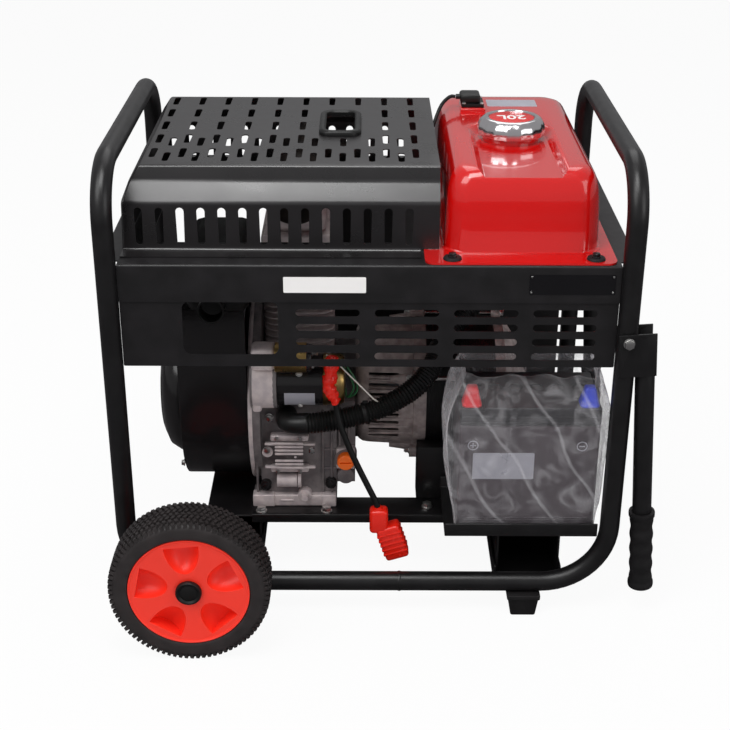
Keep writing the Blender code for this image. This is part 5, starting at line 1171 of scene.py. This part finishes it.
# %% Ribbed side cover with its bolts
COVER = (-0.1550, -0.0740, 0.1655, 0.2240)
bm = bmesh.new()
block(bm, (COVER[0], -0.1345, COVER[2]), (COVER[1], CASE_Y - GAP, COVER[3] - 0.006), radius=0.0050,
      segments=4)
block(bm, (COVER[0] + 0.002, -0.1372, COVER[2] + 0.005), (COVER[1] - 0.004, -0.1300, COVER[2] + 0.0085),
      radius=0.0012)
block(bm, (COVER[0] + 0.002, -0.1372, COVER[3] - 0.0145), (COVER[1] - 0.004, -0.1300, COVER[3] - 0.0110),
      radius=0.0012)
block(bm, (COVER[0] + 0.010, -0.1330, COVER[3] - 0.010), (COVER[1] - 0.014, CASE_Y - GAP, COVER[3]),
      radius=0.0030)
block(bm, (COVER[0] + 0.010, -0.1330, COVER[2] - 0.004), (COVER[1] - 0.014, CASE_Y - GAP, COVER[2] + 0.005),
      radius=0.0030)
block(bm, (-0.1385, -0.1400, 0.1720), (-0.0950, -0.1330, 0.2190), radius=0.0016)
for i in range(8):
    z = 0.1730 + 0.0058 * i
    block(bm, (-0.1378, -0.1424, z), (-0.0957, -0.1390, z + 0.0034), radius=0.0010, segments=2)
disc(bm, (-0.1490, -0.1340, 0.1985), (-0.1490, -0.1385, 0.1985), 0.0080, edge=0.001)
disc(bm, (-0.0830, -0.1340, 0.1985), (-0.0830, -0.1385, 0.1985), 0.0080, edge=0.001)
pits = bmesh.new()
for x in (-0.1195, -0.1075):
    disc(pits, (x, -0.1390, 0.1930), (x, -0.1460, 0.1930), 0.0018, sides=16)
block(pits, (-0.0920, -0.1420, 0.1800), (-0.0800, -0.1320, 0.1935), radius=0.002)
bm = carve(bm, pits)
hand_over("side_cover_ribbed", bm, CAST_ALUMINIUM, replaces=("side_cover",), smooth=35)
bm = bmesh.new()
for x in (-0.1490, -0.0830):
    bolt(bm, (x, -0.1385, 0.2035), (0, -1, 0), size=0.0058, washer=False)
for x, z in ((-0.1350, 0.2215), (-0.1010, 0.2215), (-0.1345, 0.1660), (-0.1010, 0.1660)):
    bolt(bm, (x, -0.1372, z), (0, -1, 0), size=0.0036, washer=False)
bolt(bm, (-0.1455, -0.1240, 0.2505), (0, -1, 0), size=0.0062)
hand_over("cover_bolts", bm, ZINC_PLATE)

# %% Bosses, dark plugs and cast ribs on the case
bm = bmesh.new()
disc(bm, (-0.1363, -0.1240, 0.1440), (-0.1060, -0.1240, 0.1440), 0.0105, edge=0.001)
disc(bm, (-0.1050, -0.1230, 0.1440), (-0.1000, -0.1230, 0.1440), 0.0118, edge=0.001)
block(bm, (-0.0475, -0.1240, 0.1625), (-0.0190, -0.1080, 0.1975), radius=0.0030)
hand_over("drain_boss_cast", bm, CAST_ALUMINIUM)
bm = bmesh.new()
for x, low, high in ((-0.1680, 0.120, 0.215), (-0.0690, 0.120, 0.260), (-0.0560, 0.120, 0.262),
                     (-0.0440, 0.200, 0.262),
                     (-0.0300, 0.205, 0.262)):
    block(bm, (x, -0.1215, low), (x + 0.0035, -0.1100, high), radius=0.0012)
for z in (0.160, 0.1925):
    block(bm, (-0.0690, -0.1205, z), (-0.0480, -0.1100, z + 0.0035), radius=0.0012)
disc(bm, (-0.0330, -0.1150, 0.1500), (-0.0330, -0.1240, 0.1500), 0.0130, edge=0.002)
hand_over("case_ribs_cast", bm, SAND_CAST)
bm = bmesh.new()
for x, z in ((-0.1535, 0.1345), (-0.0554, 0.1385)):
    disc(bm, (x, -0.1180, z), (x, -0.1270, z), 0.0085, edge=0.001)
    disc(bm, (x, -0.1270, z), (x, -0.1310, z), 0.0060, sides=6, edge=0.0006)
hand_over("case_plugs", bm, STOVED_BLACK)

# %% Orange oil plug
bm = bmesh.new()
turned(bm, [(0.0, 0.0122), (0.0108, 0.0122), (0.0124, 0.0112), (0.0130, 0.0096), (0.0130, 0.0003),
            (0.0, 0.0003)],
       (0, 0, 0), (0, 0, 1), steps=64)
for vert in bm.verts:
    reach, turn = math.hypot(vert.co.x, vert.co.y), math.atan2(vert.co.y, vert.co.x)
    if reach > 0.0120:
        vert.co.x *= 1 - 0.022 * (0.5 + 0.5 * math.cos(16 * turn))
        vert.co.y *= 1 - 0.022 * (0.5 + 0.5 * math.cos(16 * turn))
turn_to(bm, bm.verts, (-0.0330, -0.1250, 0.1801), (0, -1, 0))
slot = bmesh.new()
block(slot, (-0.0420, -0.1400, 0.1790), (-0.0240, -0.1342, 0.1813), radius=0.0004, segments=1)
bm = carve(bm, slot)
hand_over("oil_plug_moulded", bm, ORANGE_NYLON, body="oil_plug", replaces=("oil_plug",), smooth=30)

# %% [markdown]
# The cylinder stands between the shield's foot and the case. Its fins are thin cast plates with
# rounded corners, stacked at an even pitch below the head and the domed rocker cover.

# %% Cylinder, head and rocker cover
BORE_X = -0.1034
bm = bmesh.new()
disc(bm, (BORE_X, 0, 0.3103), (BORE_X, 0, 0.4340), 0.043, sides=64)
for i in range(12):
    z = 0.3180 + 0.0096 * i
    drawn_shell(bm, [(BORE_X - 0.0520 + inset, BORE_X + 0.0520 - inset, -0.0530 + inset, 0.0530 - inset,
                      z + up)
                     for inset, up in ((0.0008, 0.0), (0.0, 0.0006), (0.0, 0.0022), (0.0008, 0.0028))], 0.020)
block(bm, (BORE_X - 0.052, -0.062, 0.4310), (BORE_X + 0.052, 0.062, 0.5120), radius=0.005)
for i in range(6):
    block(bm, (BORE_X - 0.0535, -0.0650, 0.4420 + 0.0100 * i), (BORE_X + 0.0535, 0.0650, 0.4450 + 0.0100 * i),
          radius=0.001)
block(bm, (BORE_X - 0.042, -0.050, 0.5100), (BORE_X + 0.042, 0.050, 0.5448), radius=0.010, segments=5)
for x in (-0.034, 0.034):
    for y in (-0.042, 0.042):
        bolt(bm, (BORE_X + x, y, 0.5405), (0, 0, 1), size=0.006)
hand_over("cylinder_finned", bm, CAST_ALUMINIUM, replaces=("cylinder_and_head",), smooth=35)

# %% Muffler with rolled seams
MUFFLER_Z = 0.5873
bm = bmesh.new()
turned(bm, [(0.0, -0.1290), (0.0280, -0.1296), (0.0360, -0.1270), (0.0408, -0.1215), (0.0420, -0.1195),
            (0.0420, -0.1165),
            (0.0404, -0.1155), (0.0404, -0.0400), (0.0414, -0.0385), (0.0414, -0.0340), (0.0404, -0.0325),
            (0.0404, 0.0325), (0.0414, 0.0340), (0.0414, 0.0385), (0.0404, 0.0400), (0.0404, 0.1155),
            (0.0420, 0.1165),
            (0.0420, 0.1195), (0.0408, 0.1215), (0.0360, 0.1270), (0.0280, 0.1296), (0.0, 0.1290)],
       (BORE_X, 0.010, MUFFLER_Z), (0, 1, 0), steps=72)
swept_tube(bm, (BORE_X + 0.028, 0.110, MUFFLER_Z), (1, 0, 0), 0.0128, [("go", 0.0565)], sides=28)
block(bm, (BORE_X - 0.024, -0.022, 0.5452), (BORE_X + 0.024, 0.022, 0.5560), radius=0.002)
hand_over("muffler_can_seamed", bm, MUFFLER_COAT, replaces=("muffler",), smooth=35)

# %% Blower housing, fan cover and air cleaner
refined("blower_housing", STOVED_BLACK, bevel=0.0035, segments=4, smooth=40)
refined("fan_cover", STOVED_BLACK, bevel=0.0, smooth=50, name="fan_cover_pressed")
bm = bmesh.new()
FAN_X = -0.3106
for i in range(24):
    angle = 2 * math.pi * i / 24
    spoke = block(bm, (-0.0004, 0.034, -0.0016), (0.0014, 0.074, 0.0016), radius=0.0005, segments=2)
    bmesh.ops.transform(bm, matrix=Matrix.Translation((FAN_X, 0, CRANK_Z)) @ Matrix.Rotation(angle, 4, "X"),
                        verts=spoke)
for radius in (0.034, 0.054, 0.074):
    turned(bm, [(radius - 0.0014, 0.0), (radius + 0.0014, 0.0), (radius + 0.0010, -0.0018),
                (radius - 0.0010, -0.0018)],
           (FAN_X + 0.0006, 0, CRANK_Z), (1, 0, 0), steps=64)
for i in range(6):
    angle = 2 * math.pi * (i + 0.5) / 6
    bolt(bm, (FAN_X + 0.0335, 0.1010 * math.cos(angle), CRANK_Z + 0.1010 * math.sin(angle)), (-1, 0, 0),
         size=0.005)
hand_over("fan_cover_grille", bm, STOVED_BLACK)
bm = bmesh.new()
for y, z in ((-0.118, 0.335), (0.118, 0.335), (-0.095, 0.405), (0.095, 0.405), (-0.118, 0.170),
             (0.118, 0.170)):
    bolt(bm, (-0.2751, y, z), (-1, 0, 0), size=0.005)
hand_over("blower_screws", bm, ZINC_PLATE)
refined("air_cleaner", MOULDED_BLACK, bevel=0.0008, smooth=42)
bm = bmesh.new()
for y in (-0.135, -0.055):
    block(bm, (-0.2575, y - 0.006, 0.4700), (-0.2555, y + 0.006, 0.5050), radius=0.0008)
    block(bm, (-0.2600, y - 0.004, 0.4960), (-0.2560, y + 0.004, 0.5020), radius=0.0010)
hand_over("air_cleaner_clips", bm, ZINC_PLATE)

# %% Starter motor
STARTER_Y, STARTER_Z, STARTER_R = -0.125, 0.3137, 0.038
bm = bmesh.new()
turned(bm, [(0.0, -0.1315), (0.0372, -0.1315), (0.0380, -0.1307), (0.0380, -0.0662), (0.0372, -0.0654),
            (0.0, -0.0654)],
       (0, STARTER_Y, STARTER_Z), (1, 0, 0), steps=72)
block(bm, (-0.1290, -0.158, 0.338), (-0.0900, -0.136, 0.352), radius=0.003)
disc(bm, (-0.0876, -0.160, 0.3650), (-0.0800, -0.160, 0.3650), 0.0205, 0.0190, edge=0.002)
hand_over("starter_yoke", bm, STOVED_BLACK, replaces=("starter_motor",))
bm = bmesh.new()
turned(bm, [(0.0, -0.0654), (0.0378, -0.0654), (0.0384, -0.0646), (0.0384, -0.0600), (0.0374, -0.0592),
            (0.0374, -0.0400),
            (0.0340, -0.0350), (0.0200, -0.0335), (0.0, -0.0335)], (0, STARTER_Y, STARTER_Z), (1, 0, 0),
       steps=72)
turned(bm, [(0.0, -0.1325), (0.0210, -0.1325), (0.0216, -0.1318), (0.0216, -0.0884), (0.0210, -0.0877),
            (0.0, -0.0877)],
       (0, -0.160, 0.3650), (1, 0, 0), steps=48)
hand_over("starter_end_and_solenoid", bm, YELLOW_ZINC)
bm = bmesh.new()
bolt(bm, (-0.0991, -0.1550, 0.3375), (0, -0.80, 0.60), size=0.0050)
bolt(bm, (-0.0980, STARTER_Y - 0.0262, STARTER_Z - 0.0288), (0, -0.66, -0.75), size=0.0036)
disc(bm, (-0.0890, -0.172, 0.3600), (-0.0605, -0.172, 0.3600), 0.004, sides=20, edge=0.0006)
disc(bm, (-0.0800, -0.172, 0.3600), (-0.0770, -0.172, 0.3600), 0.0068, sides=6)
bolt(bm, (-0.0800, -0.150, 0.3680), (1, 0, 0), size=0.005, height=1.4)
hand_over("starter_studs", bm, ZINC_PLATE)

bm = bmesh.new()
grid = bmesh.ops.create_grid(bm, x_segments=6, y_segments=16, size=0.5)["verts"]
for vert in grid:
    angle = math.radians(208 + 44 * vert.co.y)
    x, reach = -0.0988 + 0.0440 * vert.co.x, STARTER_R + 0.0003
    vert.co = (x, STARTER_Y + reach * math.cos(angle), STARTER_Z + reach * math.sin(angle))
bmesh.ops.solidify(bm, geom=bm.faces[:], thickness=0.0002)
hand_over("starter_sticker_blank", bm, STICKER_SILVER)

# %% Red boot over the live stud
# Soft vinyl, squeezed by hand over the stud, so its skin is pushed in and out by coarse noise.
bm = bmesh.new()
noise.seed_set(3)
boot_route = smooth_route([(-0.0520, -0.1730, 0.3745), (-0.0520, -0.1750, 0.3640), (-0.0530, -0.1770, 0.3480),
                           (-0.0555, -0.1785, 0.3330), (-0.0540, -0.1790, 0.3210), (-0.0490, -0.1790, 0.3110),
                           (-0.0463, -0.1786, 0.3018)], 6)
boot_radii = [0.0090 + 0.0014 * math.sin(0.9 * i) for i in range(len(boot_route))]
for i in range(len(boot_route)):
    along = i / (len(boot_route) - 1)
    if along > 0.58:
        boot_radii[i] = 0.0094 - (along - 0.58) / 0.42 * 0.0042
    boot_radii[i] *= min(1.0, 0.35 + along * 9)
swept_route(bm, boot_route, boot_radii, sides=28)
for vert in bm.verts:
    push = noise.noise(vert.co * 150) * 0.0030 + noise.noise(vert.co * 320) * 0.0016
    middle = min(boot_route, key=lambda spot: (spot - vert.co).length)
    away = (vert.co - middle)
    if away.length > 0.003:
        vert.co += away.normalized() * push
hand_over("live_stud_boot", bm, RED_VINYL, replaces=("lead_boot",), smooth=65)

# %% Corrugated conduit
# Split conduit is a stack of round ribs. The radius swings out and in along the route, once for each
# rib, behind a smooth sleeve at the case.
HOSE = [(-0.120, -0.1198, 0.2545), (-0.120, -0.136, 0.2545), (-0.113, -0.1510, 0.2552),
        (-0.090, -0.1580, 0.2580),
        (-0.055, -0.1585, 0.2625), (-0.020, -0.1570, 0.2700), (0.015, -0.1530, 0.2800),
        (0.050, -0.1440, 0.2960),
        (0.076, -0.1290, 0.3110), (0.095, -0.1080, 0.3300), (0.108, -0.0860, 0.3520),
        (0.126, -0.0620, 0.3720),
        (0.150, -0.0300, 0.3860), (0.174, 0.0150, 0.3920), (0.193, 0.0750, 0.3900), (0.202, 0.1350, 0.3850),
        (0.202, 0.19435, 0.3850)]
HOSE_RADIUS, RIB_PITCH = 0.0160, 0.0046
rough = smooth_route(HOSE, 24)
points, radii, walked, target, step = [rough[0]], [HOSE_RADIUS - 0.0008], 0.0, 0.0, RIB_PITCH / 4
for before, after in zip(rough, rough[1:]):
    length = (after - before).length
    while target + step <= walked + length:
        target += step
        points.append(before.lerp(after, (target - walked) / length))
        phase = 2 * math.pi * target / RIB_PITCH
        ribbed = HOSE_RADIUS - 0.0011 + 0.0011 * max(-1.0, min(1.0, 1.5 * math.cos(phase)))
        radii.append(HOSE_RADIUS - 0.0004 if target < 0.062 else ribbed)
    walked += length
points[-1] = rough[-1]
bm = bmesh.new()
swept_route(bm, points, radii, sides=24)
hand_over("conduit_corrugated", bm, CONDUIT_PLASTIC, replaces=("wiring_conduit",), smooth=60)
bm = bmesh.new()
for middle, heading in ((0.145, 0.0), (0.300, 0.0)):
    near = min(range(len(points) - 1), key=lambda i: abs(route_length(points[:i + 1]) - middle))
    turned(bm, [(HOSE_RADIUS - 0.0006, -0.0024), (HOSE_RADIUS + 0.0006, -0.0024),
                (HOSE_RADIUS + 0.0006, 0.0024),
                (HOSE_RADIUS - 0.0006, 0.0024)], points[near], points[near + 1] - points[near], steps=32)
    block(bm, points[near] + Vector((-0.004, -0.0025, HOSE_RADIUS - 0.001)),
          points[near] + Vector((0.004, 0.0025, HOSE_RADIUS + 0.004)),
          radius=0.001)
hand_over("conduit_cable_ties", bm, MOULDED_BLACK)
print("conduit:", len(points), "rings")

# %% Small wires at the starter
bm = bmesh.new()
swept_route(bm, smooth_route([(-0.0600, -0.150, 0.3640), (-0.0450, -0.158, 0.3560), (-0.0335, -0.160, 0.3440),
                              (-0.0100, -0.163, 0.3200),
                              (0.0060, -0.164, 0.3030), (0.0140, -0.1560, 0.2930)], 5), 0.0011, sides=10)
hand_over("sensor_wire", bm, BUFF_JACKET)
bm = bmesh.new()
for offset in (0.0, 0.0055):
    swept_route(bm, smooth_route([(-0.0440 + offset, -0.146, 0.3560), (-0.0340 + offset, -0.154, 0.3440),
                                  (-0.0250 + offset, -0.157, 0.3300),
                                  (-0.0210 + offset, -0.156, 0.3150), (-0.0260 + offset, -0.152, 0.3020),
                                  (-0.0310, -0.146, 0.2960),
                                  (-0.0330, -0.1380, 0.3060)], 5), 0.0014, sides=10)
GREEN_JACKET = finish("green wire jacket", "1f5a34", 0.35, grain=1.0, depth=0.01)
hand_over("ignition_wires", bm, GREEN_JACKET)

# %% [markdown]
# ## Alternator
# The cast adapter carries the stator off the end of the case. It is turned at fine steps, slotted
# right through for air, and its lugs take the long tie rods to the end cover.

# %% Adapter
ALT_R, STATOR_X, STATOR_END = 0.0999, 0.0870, 0.1900
BOLT_CIRCLE = ALT_R + 0.0066
start = -0.0192 + GAP
bm = bmesh.new()
turned(bm, [(0.040, start), (ALT_R - 0.0260, start), (ALT_R - 0.0180, start + 0.0012),
            (ALT_R - 0.0110, start + 0.0048),
            (ALT_R - 0.0070, start + 0.0110), (ALT_R - 0.0055, start + 0.0200),
            (ALT_R - 0.0020, STATOR_X - 0.0200),
            (ALT_R + 0.0006, STATOR_X - 0.0190), (ALT_R + 0.0006, STATOR_X - GAP),
            (ALT_R - 0.005, STATOR_X - GAP),
            (ALT_R - 0.0110, start + 0.0150), (ALT_R - 0.0200, start + 0.005), (0.040, start + 0.005)],
       (0, 0, CRANK_Z), (1, 0, 0), steps=120)
vents = bmesh.new()
for z in (-0.052, -0.038, -0.024, -0.010, 0.008, 0.022, 0.036, 0.050):
    for y in (-0.09, 0.09):
        stadium(vents, (0.0235, y, CRANK_Z + z), 0.0460, 0.0054, 0.075, along="X", through="Y", sides=8)
bm = carve(bm, vents)
lug_angles = [math.radians(-118 + 90 * number) for number in range(4)]
for angle in lug_angles:
    y, z = BOLT_CIRCLE * math.cos(angle), CRANK_Z + BOLT_CIRCLE * math.sin(angle)
    disc(bm, (0.0640, y, z), (STATOR_X - GAP, y, z), 0.0115, sides=40)
    inner_y, inner_z = y * 0.86, CRANK_Z + (z - CRANK_Z) * 0.86
    disc(bm, (0.0640, inner_y, inner_z), (STATOR_X - GAP, inner_y, inner_z), 0.0115, sides=40)
    tail_y, tail_z = y * 0.92, CRANK_Z + (z - CRANK_Z) * 0.92
    disc(bm, (0.0330, tail_y, tail_z), (0.0645, tail_y, tail_z), 0.0045, 0.0090, sides=24)
hand_over("adapter_cast", bm, PALE_CAST, replaces=("alternator_adapter",), smooth=35)
bm = bmesh.new()
for z in (-0.045, -0.031, -0.017, 0.015, 0.029, 0.043):
    rise = math.sqrt((ALT_R - 0.004) ** 2 - z ** 2)
    for side in (-1, 1):
        block(bm, (0.0010, side * rise - 0.0030, CRANK_Z + z - 0.0022),
              (0.0640, side * rise + 0.0030, CRANK_Z + z + 0.0022),
              radius=0.0010, segments=2)
hand_over("adapter_ribs", bm, PALE_CAST)

# %% Saddle under the adapter, painted black
SADDLE_TOP = CRANK_Z - 0.61 * ALT_R
bm = bmesh.new()
for side in (-1, 1):
    low, high = sorted((side * 0.68 * ALT_R, side * 0.105))
    block(bm, (0.0740, low, 0.1003), (0.1505, high, SADDLE_TOP + 0.0004), radius=0.0012, segments=2)
relief = bmesh.new()
disc(relief, (0.05, 0, CRANK_Z), (0.2, 0, CRANK_Z), ALT_R + 0.0001, sides=96)
bm = carve(bm, relief)
hand_over("saddle_blocks_black", bm, POWDER_BLACK, smooth=35)

# %% Stator laminations
core = [(0.071, STATOR_END - 0.0002), (ALT_R - 0.0022, STATOR_END - 0.0002)]
for i in range(34):
    x = STATOR_END - 0.0012 - i * 0.003
    core += [(ALT_R - 0.0008, x), (ALT_R - 0.0008, x - 0.0012), (ALT_R - 0.0016, x - 0.0016),
             (ALT_R - 0.0016, x - 0.0026)]
core += [(ALT_R - 0.0022, STATOR_X), (0.071, STATOR_X)]
bm = bmesh.new()
turned(bm, core, (0, 0, CRANK_Z), (1, 0, 0), steps=96)
STATOR_COAT = finish("black lamination varnish", "0f0f10", 0.42, grain=1.4, depth=0.04)
hand_over("stator_laminated", bm, STATOR_COAT, replaces=("alternator_stator",), smooth=30)

# %% End cover, tie rods and the rotor
refined("alternator_end_cover", PALE_CAST, bevel=0.0012, smooth=42)
bm = bmesh.new()
for angle in lug_angles:
    y, z = BOLT_CIRCLE * math.cos(angle), CRANK_Z + BOLT_CIRCLE * math.sin(angle)
    disc(bm, (0.0560, y, z), (STATOR_END + 0.0200, y, z), 0.0036, sides=20)
    bolt(bm, (0.0640, y, z), (-1, 0, 0), size=0.0060, height=0.8)
    bolt(bm, (STATOR_END + 0.0140, y, z), (1, 0, 0), size=0.0060, height=0.8)
hand_over("alternator_tie_rods", bm, ZINC_PLATE)
bm = bmesh.new()
for i in range(12):
    angle = 2 * math.pi * i / 12
    spoke = block(bm, (0.2395, 0.030, -0.0035), (0.2424, 0.056, 0.0035), radius=0.0010, segments=2)
    bmesh.ops.transform(bm, matrix=Matrix.Translation((-0.0004, 0, CRANK_Z)) @ Matrix.Rotation(angle, 4, "X"),
                        verts=spoke)
turned(bm, [(0.0, 0.0418), (0.0180, 0.0418), (0.0200, 0.0406), (0.0210, 0.0380), (0.0, 0.0380)],
       (0.2010, 0, CRANK_Z), (1, 0, 0))
hand_over("end_cover_ribs", bm, PALE_CAST)
refined("crankshaft_rotor", MACHINED_STEEL, bevel=0.0005, smooth=40)

# %% [markdown]
# ## Control panel on the back
# The controls are on the machine's back: two weld terminals low down, outlets with spring lids, a
# round meter, a breaker, the current knob and the key. All plates and scales are bare.

# %% Panel, knob and key
PANEL_BACK = HALF_D - DECK_SHEET / 2 - GAP
refined("control_panel", POWDER_BLACK, bevel=0.0007)
bm = bmesh.new()
turned(bm, [(0.0, 0.0182), (0.0150, 0.0182), (0.0166, 0.0172), (0.0172, 0.0155), (0.0176, 0.0060),
            (0.0205, 0.0035),
            (0.0208, 0.0004), (0.0040, 0.0004), (0.0040, -0.0078), (0.0, -0.0078)], (0, 0, 0), (0, 0, 1),
       steps=96)
for vert in bm.verts:
    reach, turn = math.hypot(vert.co.x, vert.co.y), math.atan2(vert.co.y, vert.co.x)
    if reach > 0.0160 and vert.co.z > 0.005:
        share = 1 - 0.035 * (0.5 + 0.5 * math.cos(24 * turn))
        vert.co.x, vert.co.y = vert.co.x * share, vert.co.y * share
turn_to(bm, bm.verts, (0.040, PANEL_BACK, 0.410), (0, 1, 0))
hand_over("current_knob_fluted", bm, MOULDED_BLACK, body="current_knob", replaces=("current_knob",),
          smooth=34)
bm = bmesh.new()
block(bm, (0.0392, PANEL_BACK + 0.0178, 0.4150), (0.0408, PANEL_BACK + 0.0187, 0.4255), radius=0.0002,
      segments=1)
hand_over("current_knob_pointer", bm, PRINT_WHITE, body="current_knob")
refined("key_switch", CHROME_PLATE, bevel=0.0005)
refined("weld_terminal_positive", BRASS, bevel=0.0004)
refined("weld_terminal_negative", MACHINED_STEEL, bevel=0.0004)

# %% Dials, outlets and blank plates
bm, dark, pale = bmesh.new(), bmesh.new(), bmesh.new()
turned(pale, [(0.0240, 0.0003), (0.0330, 0.0003), (0.0330, 0.0010), (0.0240, 0.0010)],
       (0.040, PANEL_BACK, 0.410), (0, 1, 0), steps=64)
turned(dark, [(0.0, 0.0004), (0.0150, 0.0004), (0.0160, 0.0022), (0.0120, 0.0030), (0.0110, 0.0034),
              (0.0, 0.0034)],
       (-0.060, PANEL_BACK - 0.0003, 0.430), (0, 1, 0))
plate(pale, -0.0860, -0.0340, 0.3500, 0.3900, PANEL_BACK + 0.0002, 0.0005, 0.002, side=1)
plate(pale, 0.1880, 0.3020, 0.3480, 0.3660, PANEL_BACK + 0.0002, 0.0005, 0.002, side=1)
block(dark, (0.0950, PANEL_BACK + 0.0003, 0.3980), (0.1550, PANEL_BACK + 0.0110, 0.4580), radius=0.003)
turned(pale, [(0.0, 0.0111), (0.0240, 0.0111), (0.0240, 0.0117), (0.0, 0.0117)], (0.1250, PANEL_BACK, 0.4290),
       (0, 1, 0))
block(dark, (0.1244, PANEL_BACK + 0.0117, 0.4200), (0.1256, PANEL_BACK + 0.0122, 0.4460))
block(dark, (0.1050, PANEL_BACK + 0.0003, 0.3250), (0.1450, PANEL_BACK + 0.0120, 0.3720), radius=0.002)
block(bm, (0.1190, PANEL_BACK + 0.0118, 0.3420), (0.1310, PANEL_BACK + 0.0210, 0.3560), radius=0.002)
for x in (0.2130, 0.2770):
    block(dark, (x - 0.0270, PANEL_BACK + 0.0003, 0.4010), (x + 0.0270, PANEL_BACK + 0.0060, 0.4610),
          radius=0.0025)
    turned(dark, [(0.0, 0.0058), (0.0205, 0.0058), (0.0215, 0.0075), (0.0215, 0.0130), (0.0195, 0.0155),
                  (0.0, 0.0162)],
           (x, PANEL_BACK, 0.4290), (0, 1, 0), steps=56)
    disc(dark, (x - 0.0140, PANEL_BACK + 0.0100, 0.4530), (x + 0.0140, PANEL_BACK + 0.0100, 0.4530), 0.0036,
         sides=20)
    for dx in (-0.0225, 0.0225):
        for dz in (0.4055, 0.4565):
            bolt(bm, (x + dx, PANEL_BACK + 0.0060, dz), (0, 1, 0), size=0.0026, washer=False)
for x in (-0.0980, 0.3130):
    for z in (0.1800, 0.3150, 0.4760):
        bolt(bm, (x, PANEL_BACK + 0.0003, z), (0, 1, 0), size=0.004)
for x in (-0.0400, 0.2450):
    for row in range(6):
        z = 0.1900 + 0.0130 * row
        block(dark, (x - 0.0400, PANEL_BACK + 0.0002, z), (x + 0.0400, PANEL_BACK + 0.0036, z + 0.0055),
              radius=0.0018)
hand_over("panel_dials_and_outlets", dark, MOULDED_BLACK)
hand_over("panel_plates_blank", pale, STICKER_SILVER)
hand_over("panel_screws_and_toggle", bm, ZINC_PLATE)
